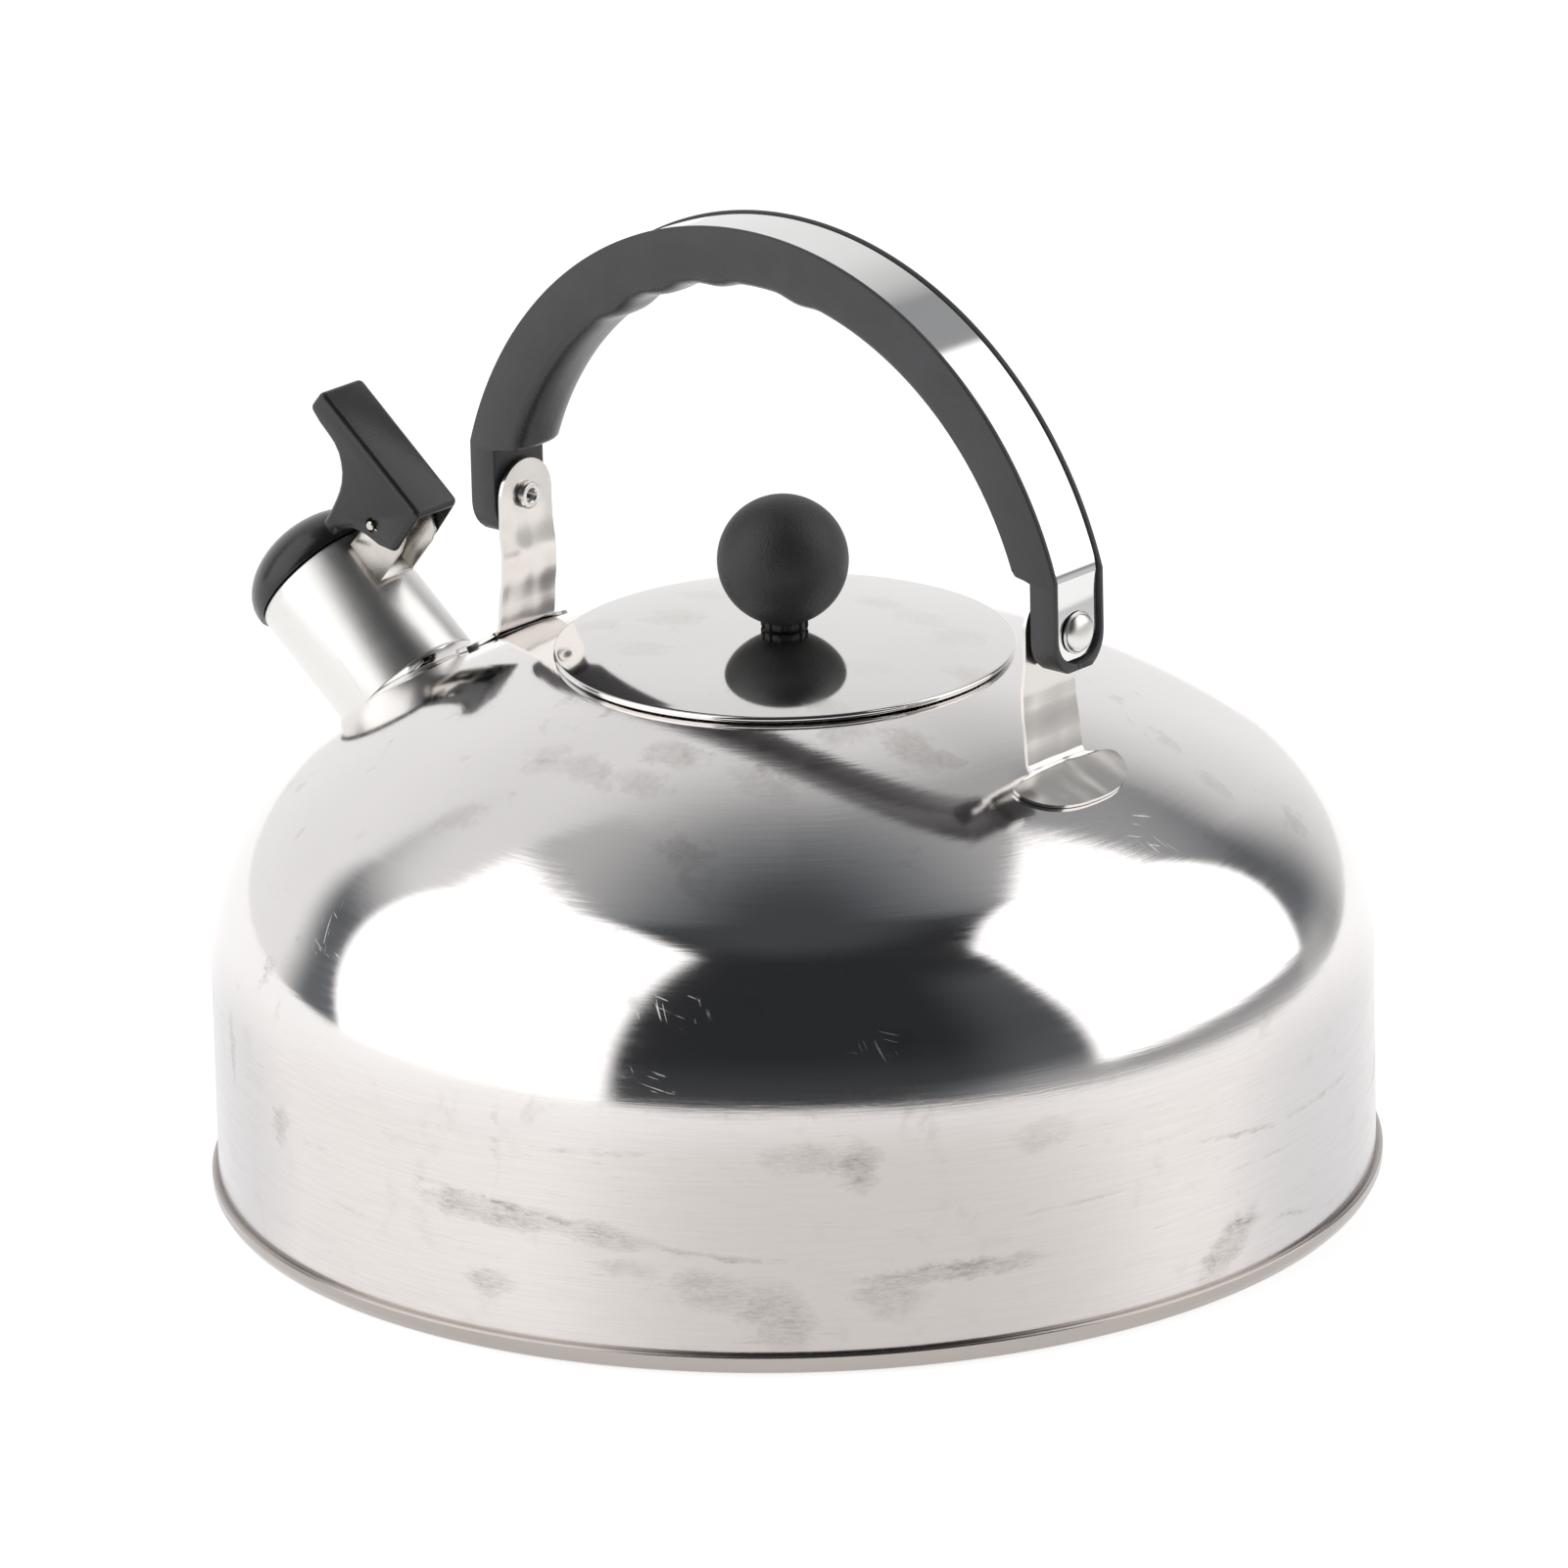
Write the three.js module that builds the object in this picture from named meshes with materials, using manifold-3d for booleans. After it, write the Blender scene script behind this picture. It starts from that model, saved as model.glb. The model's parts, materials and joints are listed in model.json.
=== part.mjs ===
// Stovetop kettle with a whistling spout cap and a folding bail handle. Millimetres, +Z up.
// The origin is on the kettle's axis at the underside of the base. The spout points along -X.
import * as THREE from 'three';
import Module from 'manifold-3d';

const wasm = await Module();
wasm.setup();

// Clearances
const gap = 0.3;
const mouthGap = 0.4;
const pinGap = 0.3;

// Body
const sheet = 0.6;
const bodyRadius = 110;
const wallHeight = 43.5;
const shoulderRadius = 45;
const domeRadius = 160;
const mouthRadius = 40.3;
const mouthLip = 5.5;

// Base
const baseSheet = 0.8;
const seamWidth = 1.0;
const seamHeight = 4.0;

// Spout
const spoutRadius = 14.5;
const spoutElevation = 39.2;
const spoutSeatAngle = 45.35;
const collarRise = 1.6;
const tubeLength = 27.2;
const flareWidth = 5;
const flareHeight = 7.5;

// Whistle cap and lever
const capRadius = 15.2;
const capHeight = 10.9;
const capLip = 1.2;
const leverHalfWidth = 6;
const leverWall = 1;
const pinU = -4.5;
const pinAboveTube = 9.25;
const pinRadius = 0.9;
const sleeveRadius = 12.6;
const sleeveWall = 0.6;
const sleeveDepth = 3;
const sleeveReach = 4.1;
const discThickness = 0.5;
const whistleHole = 1.6;
const outletHole = 1.8;

// Whistle bracket and spring
const earSheet = 0.7;
const wireRadius = 0.35;
const coilRadius = 2.1;
const coilHalfWidth = 2.6;

// Handle
const archShare = 0.6927; // of the body's radius
const archRadius = archShare * bodyRadius;
const archStart = 16.6;
const archRise = 10.8;
const gripWidth = 14;
const gripDepth = 11.8;
const endDepth = 6.3;
const endBelowPivot = 8.2;
const shoulderAbovePivot = 11.2;
const ridgeHeight = 0.8;
const ridgeAngles = [124, 112, 99, 81];
const stripWidth = 11.5;
const stripThickness = 0.8;
const stripSink = 0.4;
const stripEndSink = 0.9;

// Handle brackets and rivets
const strapThickness = 1.2;
const strapWidth = 15.4;
const earWidth = 14.2;
const pivotRise = 26.9;
const padHalfLength = 14.5;
const padDepth = 10.4;
const padThickness = 1;
const shankRadius = 2;
const headRadius = 4;
const headHeight = 1.9;
const rollRadius = 2.65;

// Lid, knob and screw
const lidOverhang = 3.3;
const lidRoll = 0.6;
const lidCrown = 3.2;
const skirtDepth = 10;
const skirtFlange = 5.3;
const knobRadius = 12.4;
const neckRadius = 4.5;
const neckHeight = 1.5;
const fluteDepth = 0.35;
const screwRadius = 2;
const screwLength = 9;
const washerRadius = 7;
const washerThickness = 1;

// Facets round a turned piece
const bodyFacets = 48;
const smallFacets = 24;

const rad = THREE.MathUtils.degToRad;

// ---- Shapes: points and faces, made solid by solid() ----

// Joins rings of points into one closed shape. A ring of one point is a pole.
function skin(rings, capFaces = [], loop = false) {
  const points = [];
  const faces = [];
  const starts = [];
  for (const ring of rings) {
    starts.push(points.length);
    points.push(...ring);
  }
  const spans = loop ? rings.length : rings.length - 1;
  for (let i = 0; i < spans; i += 1) {
    const k = (i + 1) % rings.length;
    const here = rings[i].length;
    const there = rings[k].length;
    const count = Math.max(here, there);
    for (let j = 0; j < count; j += 1) {
      const next = (j + 1) % count;
      const a = starts[i] + (here > 1 ? j : 0);
      const b = starts[i] + (here > 1 ? next : 0);
      const c = starts[k] + (there > 1 ? next : 0);
      const d = starts[k] + (there > 1 ? j : 0);
      if (here > 1) {
        faces.push([a, b, c]);
      }
      if (there > 1) {
        faces.push([a, c, d]);
      }
    }
  }
  const end = starts[rings.length - 1];
  for (const [a, b, c] of capFaces) {
    faces.push([a, c, b]);
    faces.push([end + a, end + b, end + c]);
  }
  return { points, faces };
}

function area(outline, indices) {
  let sum = 0;
  for (let i = 0; i < indices.length; i += 1) {
    const [x0, y0] = outline[indices[i]];
    const [x1, y1] = outline[indices[(i + 1) % indices.length]];
    sum += x0 * y1 - x1 * y0;
  }
  return sum / 2;
}

// Faces that fill an outline, turning the same way as its points.
function fill(outline) {
  const whole = area(outline, outline.map((point, i) => i));
  const contour = outline.map(([x, y]) => new THREE.Vector2(x, y));
  const faces = THREE.ShapeUtils.triangulateShape(contour, []);
  return faces.map(([a, b, c]) => (area(outline, [a, b, c]) * whole > 0 ? [a, b, c] : [a, c, b]));
}

// An outline of [x, y] points carried from z0 to z1.
function prism(outline, z0, z1) {
  const rings = [z0, z1].map((z) => outline.map(([x, y]) => new THREE.Vector3(x, y, z)));
  return skin(rings, fill(outline));
}

function box(x0, x1, y0, y1, z0, z1) {
  return prism([[x0, y0], [x1, y0], [x1, y1], [x0, y1]], z0, z1);
}

// A profile of [radius, z] points turned round +Z. It starts and ends on the axis, or closes on itself.
function turned(profile, facets) {
  const onAxis = profile[0][0] === 0;
  const rings = profile.map(([r, z]) => {
    if (r === 0) {
      return [new THREE.Vector3(0, 0, z)];
    }
    const ring = [];
    for (let i = 0; i < facets; i += 1) {
      const angle = (2 * Math.PI * i) / facets;
      ring.push(new THREE.Vector3(r * Math.cos(angle), r * Math.sin(angle), z));
    }
    return ring;
  });
  return skin(rings, [], !onAxis);
}

function rod(radius, z0, z1, facets = smallFacets) {
  return turned([[0, z0], [radius, z0], [radius, z1], [0, z1]], facets);
}

// Points on an arc, angles in degrees.
function arc(cx, cy, r, from, to, steps) {
  const points = [];
  for (let i = 0; i <= steps; i += 1) {
    const angle = rad(from + ((to - from) * i) / steps);
    points.push([cx + r * Math.cos(angle), cy + r * Math.sin(angle)]);
  }
  return points;
}

function moved(shape, matrix) {
  return { points: shape.points.map((p) => p.clone().applyMatrix4(matrix)), faces: shape.faces };
}

function solid(shape, matrix) {
  const { points, faces } = matrix ? moved(shape, matrix) : shape;
  const cross = new THREE.Vector3();
  let volume = 0;
  for (const [a, b, c] of faces) {
    volume += cross.crossVectors(points[b], points[c]).dot(points[a]);
  }
  const turn = volume < 0;
  const triVerts = new Uint32Array(faces.flatMap(([a, b, c]) => (turn ? [a, c, b] : [a, b, c])));
  const vertProperties = new Float32Array(points.flatMap((p) => [p.x, p.y, p.z]));
  return new wasm.Manifold(new wasm.Mesh({ numProp: 3, vertProperties, triVerts }));
}

const group = new THREE.Group();

function addNode(name, body, color, roughness, metalness) {
  const made = body.getMesh();
  const geometry = new THREE.BufferGeometry();
  geometry.setAttribute('position', new THREE.BufferAttribute(new Float32Array(made.vertProperties), 3));
  geometry.setIndex(new THREE.BufferAttribute(new Uint32Array(made.triVerts), 1));
  const flat = geometry.toNonIndexed();
  flat.computeVertexNormals();
  const material = new THREE.MeshStandardMaterial({ color, roughness, metalness });
  const mesh = new THREE.Mesh(flat, material);
  mesh.name = name;
  group.add(mesh);
}

const polished = [0xc9c7c2, 0.16, 1];
const satin = [0xb4aea4, 0.38, 1];
const blackPlastic = [0x1b1b1c, 0.5, 0];
const blackSatin = [0x121213, 0.36, 0];

// ---- Body ----

const shoulderX = bodyRadius - shoulderRadius;
const domeReach = domeRadius - shoulderRadius;
const domeZ = wallHeight - Math.sqrt(domeReach ** 2 - shoulderX ** 2);
const tangentAngle = THREE.MathUtils.radToDeg(Math.acos(shoulderX / domeReach));

// Height of the body's outer face, moved out by an offset, at a radius from the axis.
function shellZ(r, offset = 0) {
  const tangent = (domeRadius + offset) * Math.cos(rad(tangentAngle));
  if (r <= tangent) {
    return domeZ + Math.sqrt((domeRadius + offset) ** 2 - r ** 2);
  }
  return wallHeight + Math.sqrt((shoulderRadius + offset) ** 2 - (r - shoulderX) ** 2);
}

// The wall, shoulder and dome from the foot up to radius r, moved out by an offset.
function shellProfile(foot, r, offset) {
  const top = THREE.MathUtils.radToDeg(Math.acos(r / (domeRadius + offset)));
  return [
    [bodyRadius + offset, foot],
    ...arc(shoulderX, wallHeight, shoulderRadius + offset, 0, tangentAngle, 7),
    ...arc(0, domeZ, domeRadius + offset, tangentAngle, top, 5).slice(1),
  ];
}

const bodyFoot = baseSheet + gap;
const lipBend = 1;
const lipZ = shellZ(mouthRadius) - mouthLip;

// ---- Spout frames: the tube's axis leaves the shell at spoutElevation; u runs out, v up, y along the hinge ----

const spoutOut = new THREE.Vector3(-Math.cos(rad(spoutElevation)), 0, Math.sin(rad(spoutElevation)));
const spoutUp = new THREE.Vector3(Math.sin(rad(spoutElevation)), 0, Math.cos(rad(spoutElevation)));
const spoutSide = new THREE.Vector3(0, 1, 0);
const seatReach = shoulderRadius + collarRise;
const weld = new THREE.Vector3(
  -(shoulderX + seatReach * Math.cos(rad(spoutSeatAngle))),
  0,
  wallHeight + seatReach * Math.sin(rad(spoutSeatAngle)),
);
const spoutMouth = weld.clone().addScaledVector(spoutOut, tubeLength);
// Local Z along the tube's axis
const spoutAxis = new THREE.Matrix4().makeBasis(spoutUp, spoutSide, spoutOut).setPosition(spoutMouth);
// Local X and Y are u and v, local Z the hinge direction
const spoutPlane = new THREE.Matrix4().makeBasis(spoutOut, spoutUp, spoutSide).setPosition(spoutMouth);

// The flared plug of the collar, moved in by an offset.
function collarPlug(inset) {
  const r = spoutRadius - inset;
  const start = -tubeLength - 0.8;
  const curve = [];
  for (let i = 0; i <= 8; i += 1) {
    const angle = rad(11.25 * i);
    const wide = (flareWidth + inset) * (1 - Math.cos(angle));
    const low = (flareHeight + inset) * Math.sin(angle);
    curve.push([r + wide, start - low]);
  }
  const deep = start - flareHeight - 12;
  const top = inset > 0 ? 1 : -tubeLength;
  return solid(turned([[0, top], [r, top], ...curve, [curve[8][0], deep], [0, deep]], smallFacets), spoutAxis);
}

function bodyShell() {
  const bendZ = shellZ(mouthRadius + lipBend);
  const outer = shellProfile(bodyFoot, mouthRadius + lipBend, 0);
  const inner = shellProfile(bodyFoot, mouthRadius + sheet + 0.4, -sheet).reverse();
  const lip = [
    [mouthRadius + 0.3, bendZ - 0.25],
    [mouthRadius, bendZ - lipBend],
    [mouthRadius, lipZ],
    [mouthRadius + sheet, lipZ],
    [mouthRadius + sheet, bendZ - lipBend - 0.4],
  ];
  const wall = solid(turned([...outer, ...lip, ...inner], bodyFacets));
  const roomTop = domeZ + domeRadius - sheet;
  const room = [[0, -5], ...shellProfile(-5, mouthRadius, -sheet), [0, roomTop]];
  const cavity = solid(turned(room, bodyFacets));
  const collar = collarPlug(0).subtract(cavity);
  return wall.add(collar).subtract(collarPlug(sheet));
}

function basePan() {
  const inner = bodyRadius + gap;
  const outer = inner + seamWidth;
  const profile = [
    [0, 0],
    [outer - 1.7, 0],
    [outer - 0.6, 0.5],
    [outer, 1.7],
    [outer, seamHeight - 0.4],
    [outer - 0.35, seamHeight],
    [inner, seamHeight],
    [inner, baseSheet],
    [0, baseSheet],
  ];
  return solid(turned(profile, bodyFacets));
}

// ---- Spout, whistle and lever ----

const boreRadius = spoutRadius - sheet;

function spoutTube() {
  const foot = -tubeLength + gap;
  const profile = [[boreRadius, foot], [spoutRadius, foot], [spoutRadius, 0], [boreRadius, 0]];
  return solid(turned(profile, smallFacets), spoutAxis);
}

const pinV = spoutRadius + pinAboveTube;
const webV = spoutRadius + gap;
const webTop = webV + earSheet;
const channelHalf = leverHalfWidth - leverWall;
const earHalf = channelHalf - pinGap;
const ceilingV = pinV + 9.7;
const pinAt = new THREE.Vector2(pinU, pinV);

// Outline points given from the hinge pin, as u and v.
function fromPin(points) {
  return points.map(([u, v]) => [pinAt.x + u, pinAt.y + v]);
}

function pinRod(radius, half) {
  const place = spoutPlane.clone().multiply(new THREE.Matrix4().makeTranslation(pinU, pinV, 0));
  return solid(rod(radius, -half, half, 16), place);
}

function whistleBracket() {
  const ears = fromPin([
    [2, 0.8],
    [1.1, 3.4],
    [-1.5, 4.7],
    [-4.1, 4.7],
    [-6.8, 3.2],
    [-7.6, 0.3],
  ]);
  const outline = [[pinU - 7.6, webV], [pinU + 2, webV], ...ears];
  const block = solid(prism(outline, -earHalf, earHalf), spoutPlane);
  const inside = earHalf - earSheet;
  const trough = solid(box(pinU - 10, pinU + 5, webTop, pinV + 8, -inside, inside), spoutPlane);
  return block.subtract(trough).subtract(pinRod(pinRadius + pinGap, earHalf + 1));
}

function capDome() {
  const curve = [];
  for (let i = 1; i <= 9; i += 1) {
    const angle = rad(10 * i);
    const height = capLip + (capHeight - capLip) * Math.sin(angle);
    curve.push([i === 9 ? 0 : capRadius * Math.cos(angle), height]);
  }
  return solid(turned([[0, gap], [capRadius, gap], [capRadius, capLip], ...curve], smallFacets), spoutAxis);
}

const sleeveBore = sleeveRadius + gap;
const chamberU = sleeveReach + gap;

function capBore() {
  const profile = [
    [0, -1],
    [sleeveBore, -1],
    [sleeveBore, chamberU],
    [7, chamberU],
    [5.5, chamberU + 3.4],
    [outletHole, chamberU + 3.8],
    [outletHole, capHeight + 2],
    [0, capHeight + 2],
  ];
  return solid(turned(profile, smallFacets), spoutAxis);
}

function whistleCap() {
  const stemFoot = spoutRadius - 2.5;
  const outline = [
    ...fromPin([
      [-7.2, -0.2],
      [-6.7, 11.2],
      [25.3, 11.2],
      [25.4, 6.1],
      [21.7, 5.4],
      [16.7, 5.1],
      [13.3, 3.4],
      [10.8, 0.5],
      [9.6, -3.8],
      [9.1, -8.3],
    ]),
    [pinU + 9.1, stemFoot],
    [gap, stemFoot],
    [gap, spoutRadius + 1.6],
    ...fromPin([[3, -5], [0, -3.4], [-3.5, -2.4]]),
  ];
  const channel = [
    [pinU - 9, stemFoot - 2],
    [pinU - 9, ceilingV],
    [pinU + 7.1, ceilingV],
    [pinU + 7.1, pinV - 2.7],
    [-gap, pinV - 5.7],
    [-gap, stemFoot - 2],
  ];
  const lever = solid(prism(outline, -leverHalfWidth, leverHalfWidth), spoutPlane);
  const hollow = solid(prism(channel, -channelHalf, channelHalf), spoutPlane);
  const eye = pinRod(pinRadius + 2 * pinGap, leverHalfWidth + 1);
  return capDome().add(lever).subtract(hollow).subtract(capBore()).subtract(eye);
}

function whistleSleeve() {
  const inner = sleeveRadius - sleeveWall;
  const profile = [
    [inner, -sleeveDepth],
    [sleeveRadius, -sleeveDepth],
    [sleeveRadius, sleeveReach],
    [inner, sleeveReach],
  ];
  return solid(turned(profile, smallFacets), spoutAxis);
}

function whistleDisc(u) {
  const rim = sleeveRadius - sleeveWall - gap;
  const profile = [
    [whistleHole, u],
    [rim, u],
    [rim, u + discThickness],
    [whistleHole, u + discThickness],
  ];
  return solid(turned(profile, smallFacets), spoutAxis);
}

// A round wire along a path of points, its rings kept from twisting.
function wire(path, radius, sides) {
  const rings = [];
  let side = new THREE.Vector3(0, 0, 1);
  for (let i = 0; i < path.length; i += 1) {
    const before = path[Math.max(i - 1, 0)];
    const after = path[Math.min(i + 1, path.length - 1)];
    const along = after.clone().sub(before).normalize();
    side = side.clone().addScaledVector(along, -side.dot(along)).normalize();
    const other = along.clone().cross(side);
    const ring = [];
    for (let j = 0; j < sides; j += 1) {
      const angle = (2 * Math.PI * j) / sides;
      const offset = side.clone().multiplyScalar(radius * Math.cos(angle));
      offset.addScaledVector(other, radius * Math.sin(angle));
      ring.push(path[i].clone().add(offset));
    }
    rings.push(ring);
  }
  const outline = arc(0, 0, 1, 0, 360 - 360 / sides, sides - 1);
  return skin(rings, fill(outline));
}

function whistleSpring() {
  const first = -33.4;
  const last = 36.9 + 4 * 360;
  const steps = 42;
  const webLeg = 7.4;
  const leverLeg = 8.6;
  const path = [];
  for (let i = 0; i <= steps; i += 1) {
    const angle = rad(first + ((last - first) * i) / steps);
    const y = -coilHalfWidth + (2 * coilHalfWidth * i) / steps;
    path.push(new THREE.Vector3(coilRadius * Math.cos(angle), coilRadius * Math.sin(angle), y));
  }
  const start = rad(first);
  const end = rad(last);
  const webEnd = path[0].clone().add(new THREE.Vector3(Math.sin(start), -Math.cos(start), 0).multiplyScalar(webLeg));
  const leverEnd = path[steps].clone();
  leverEnd.add(new THREE.Vector3(-Math.sin(end), Math.cos(end), 0).multiplyScalar(leverLeg));
  const whole = [webEnd, ...path, leverEnd];
  const place = spoutPlane.clone().multiply(new THREE.Matrix4().makeTranslation(pinU, pinV, 0));
  return solid(wire(whole, wireRadius, 5), place);
}

// ---- Handle ----

const seatX = archRadius * Math.cos(rad(archStart)) - endDepth;
const endX = seatX + endDepth;
const earX = seatX - gap;
const padX = earX - strapThickness / 2 + 0.8;
const pivotZ = shellZ(padX) + pivotRise;
const archZ = pivotZ - archRise;
const startZ = archZ + archRadius * Math.sin(rad(archStart));

// Stations along the grip's outer line from the left end to the right: place, outward direction, share of
// the way from an end's flat section to the arch's round one, half width.
function gripStations() {
  const half = gripWidth / 2;
  const roundZ = pivotZ - endBelowPivot + half;
  const right = [];
  for (const angle of [80, 62, 42, 21, 0]) {
    right.push([endX, roundZ - half * Math.sin(rad(angle)), 0, 0, half * Math.cos(rad(angle))]);
  }
  right.push([endX, pivotZ + shoulderAbovePivot - 0.9, 0, 0, half]);
  right.push([endX, pivotZ + shoulderAbovePivot, 0.5 * archStart, 1, half]);
  const arch = [];
  const steps = 40;
  const from = archStart + 0.8;
  for (let i = 0; i <= steps; i += 1) {
    const angle = from + ((180 - 2 * from) * i) / steps;
    const x = archRadius * Math.cos(rad(angle));
    const z = archZ + archRadius * Math.sin(rad(angle));
    arch.push([x, z, angle, 1, half]);
  }
  const left = right.map(([x, z, angle, share, width]) => [-x, z, 180 - angle, share, width]).reverse();
  const all = [...right, ...arch, ...left];
  return all.map(([x, z, angle, share, width]) => ({ x, z, angle, share, width }));
}

function ridgeAt(angle) {
  const lift = ridgeAngles.map((at) => Math.max(0, 1 - Math.abs(angle - at) / 4.5));
  return ridgeHeight * Math.max(...lift);
}

// A section of [y, depth] points set across the grip at a station.
function across(station, section) {
  const nx = Math.cos(rad(station.angle));
  const nz = Math.sin(rad(station.angle));
  return section.map(([y, n]) => new THREE.Vector3(station.x + n * nx, y, station.z + n * nz));
}

function gripSection(station) {
  const { width, share, angle } = station;
  const depth = share > 0 ? gripDepth + ridgeAt(angle) : endDepth;
  const side = 0.8 + share * 2.8;
  const power = share > 0 ? 0.75 : 0.2;
  const edge = Math.min(0.8, width / 3);
  const section = [[width, -edge], [width - edge, 0], [edge - width, 0], [-width, -edge]];
  for (let k = 0; k <= 8; k += 1) {
    const angleAcross = rad(22.5 * k);
    const y = -width * Math.sign(Math.cos(angleAcross)) * Math.abs(Math.cos(angleAcross)) ** power;
    const n = side - depth - side * Math.sin(angleAcross) ** power;
    section.push([Math.abs(Math.cos(angleAcross)) < 1e-9 ? 0 : y, n]);
  }
  return section;
}

// A flat band on the grip's outer line, from depth n0 to n1, ending at the pivots in round ends.
function band(half, n0, n1, endN0, endN1) {
  const stations = gripStations().filter(({ share }) => share > 0);
  const rows = stations.map((station) => [station, n0, n1]);
  const ends = [1, -1].map((side) => {
    const angle = side > 0 ? 0 : 180;
    const heights = [pivotZ, pivotZ + shoulderAbovePivot - 3];
    return heights.map((z) => [{ x: side * endX, z, angle }, endN0, endN1]);
  });
  const whole = [...ends[0], ...rows, ...ends[1].reverse()];
  const rings = whole.map(([station, low, high]) => {
    return across(station, [[-half, low], [half, low], [half, high], [-half, high]]);
  });
  let body = solid(skin(rings, [[0, 1, 2], [0, 2, 3]]));
  for (const side of [1, -1]) {
    const low = side * (endX + endN0);
    const high = side * (endX + endN1);
    body = body.add(alongX(rod(half, Math.min(low, high), Math.max(low, high))));
  }
  return body;
}

// A shape turned round its own Z, laid along world X at the pivots' height.
function alongX(shape) {
  const place = new THREE.Matrix4().makeBasis(
    new THREE.Vector3(0, 1, 0),
    new THREE.Vector3(0, 0, 1),
    new THREE.Vector3(1, 0, 0),
  );
  return solid(shape, place.setPosition(0, 0, pivotZ));
}

function pivotHoles(body) {
  const reach = endX + 5;
  return body.subtract(alongX(rod(shankRadius + pinGap, -reach, reach, 20)));
}

function handleGrip() {
  const stations = gripStations();
  const sections = stations.map(gripSection);
  const rings = stations.map((station, i) => across(station, sections[i]));
  const body = solid(skin(rings, fill(sections[20])));
  const floor = -stripSink - stripThickness - gap;
  const endFloor = -stripEndSink - stripThickness - gap;
  const recess = band(stripWidth / 2 + gap, floor, 3, endFloor, 3);
  return pivotHoles(body.subtract(recess));
}

function handleStrip() {
  const outer = -stripSink;
  const endOuter = -stripEndSink;
  const body = band(stripWidth / 2, outer - stripThickness, outer, endOuter - stripThickness, endOuter);
  return pivotHoles(body);
}

// The whole shell as a solid, moved out by an offset, with the body's own facets.
function shellLayer(offset) {
  const top = (mouthRadius + lipBend) * (1 + offset / domeRadius);
  const profile = shellProfile(0, top, offset);
  return solid(turned([[0, 0], ...profile, [0, profile[profile.length - 1][1]]], bodyFacets));
}

function handleBracket(side) {
  const middle = earX - strapThickness / 2;
  const seat = shellZ(padX, gap) + padThickness / 2;
  const drop = pivotZ - seat;
  const line = [
    [middle, pivotZ, earWidth],
    [middle, pivotZ - 0.38 * drop, earWidth],
    [middle - 1, pivotZ - 0.47 * drop, earWidth + 0.3],
    [middle - 1, pivotZ - 0.56 * drop, earWidth + 0.5],
    [middle + 0.3, pivotZ - 0.86 * drop, strapWidth],
    [padX, seat, strapWidth],
  ];
  const t = strapThickness / 2;
  const rings = line.map(([x, z, width]) => {
    const w = width / 2;
    const corners = [[x - t, -w], [x + t, -w], [x + t, w], [x - t, w]];
    return corners.map(([cx, cy]) => new THREE.Vector3(cx, cy, z));
  });
  const strap = solid(skin(rings, [[0, 1, 2], [0, 2, 3]]));
  const ear = alongX(rod(earWidth / 2, middle - t, middle + t));
  const inside = padX - t;
  const outline = [[inside, -padHalfLength], [inside, padHalfLength]];
  for (let k = 0; k <= 10; k += 1) {
    const angle = rad(90 - 18 * k);
    const x = inside + (padDepth + t) * Math.abs(Math.cos(angle)) ** 0.8;
    outline.push([k === 0 || k === 10 ? inside + 1.5 : x, padHalfLength * Math.sin(angle)]);
  }
  const footprint = solid(prism(outline, wallHeight, pivotZ));
  const pad = shellLayer(gap + padThickness).intersect(footprint);
  const whole = pivotHoles(strap.add(ear).add(pad).subtract(shellLayer(gap)));
  return side > 0 ? whole : mirrored(whole).subtract(collarPlug(-gap));
}

function mirrored(body) {
  const made = body.getMesh();
  const points = [];
  for (let i = 0; i < made.vertProperties.length; i += made.numProp) {
    points.push(new THREE.Vector3(...made.vertProperties.slice(i, i + 3)));
  }
  const faces = [];
  for (let i = 0; i < made.triVerts.length; i += 3) {
    faces.push(Array.from(made.triVerts.slice(i, i + 3)));
  }
  return solid({ points, faces }, new THREE.Matrix4().makeScale(-1, 1, 1));
}

function handleRivet(side) {
  const headX = endX - stripEndSink + gap;
  const tail = earX - strapThickness - gap;
  const dome = arc(0, headX + 0.5, 1, 0, 90, 4).map(([x, z]) => {
    const up = (z - headX - 0.5) * (headHeight - 0.5);
    return [Math.abs(x) < 1e-9 ? 0 : headRadius * x, headX + 0.5 + up];
  });
  const profile = [
    [0, tail + 2],
    [1.2, tail + 2],
    [1.3, tail - 1.2],
    [2, tail - 1.3],
    [rollRadius, tail - 0.8],
    [rollRadius, tail - 0.3],
    [shankRadius, tail],
    [shankRadius, headX],
    [headRadius, headX],
    ...dome,
  ];
  const body = alongX(turned(profile, 16));
  return side > 0 ? body : mirrored(body);
}

// ---- Lid ----

const rollR = mouthRadius + lidOverhang - lidRoll;
const rollZ = shellZ(rollR) + gap + lidRoll;
const lidTop = rollZ + lidRoll + lidCrown;
const crownRadius = rollR ** 2 / (2 * lidCrown);

function lidZ(r) {
  return lidTop - r ** 2 / (2 * crownRadius);
}

function lidShell() {
  const hole = screwRadius + gap;
  const radii = [hole, ...[0.28, 0.52, 0.76].map((share) => share * rollR), rollR - 2];
  const top = radii.map((r) => [r, lidZ(r)]);
  const under = radii.map((r) => [r, lidZ(r) - sheet]).reverse();
  const roll = arc(rollR, rollZ, lidRoll, 90, -180, 6);
  return solid(turned([...top, ...roll, ...under], bodyFacets));
}

function lidSkirt() {
  const outer = mouthRadius - mouthGap;
  const top = lidZ(outer) - sheet - gap;
  const inner = outer - sheet;
  const foot = top - skirtDepth;
  const profile = [
    [outer - skirtFlange, top],
    [outer - 0.3, top],
    [outer, top - 0.3],
    [outer, foot],
    [inner, foot],
    [inner, top - sheet],
    [outer - skirtFlange, top - sheet],
  ];
  return solid(turned(profile, bodyFacets));
}

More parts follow.
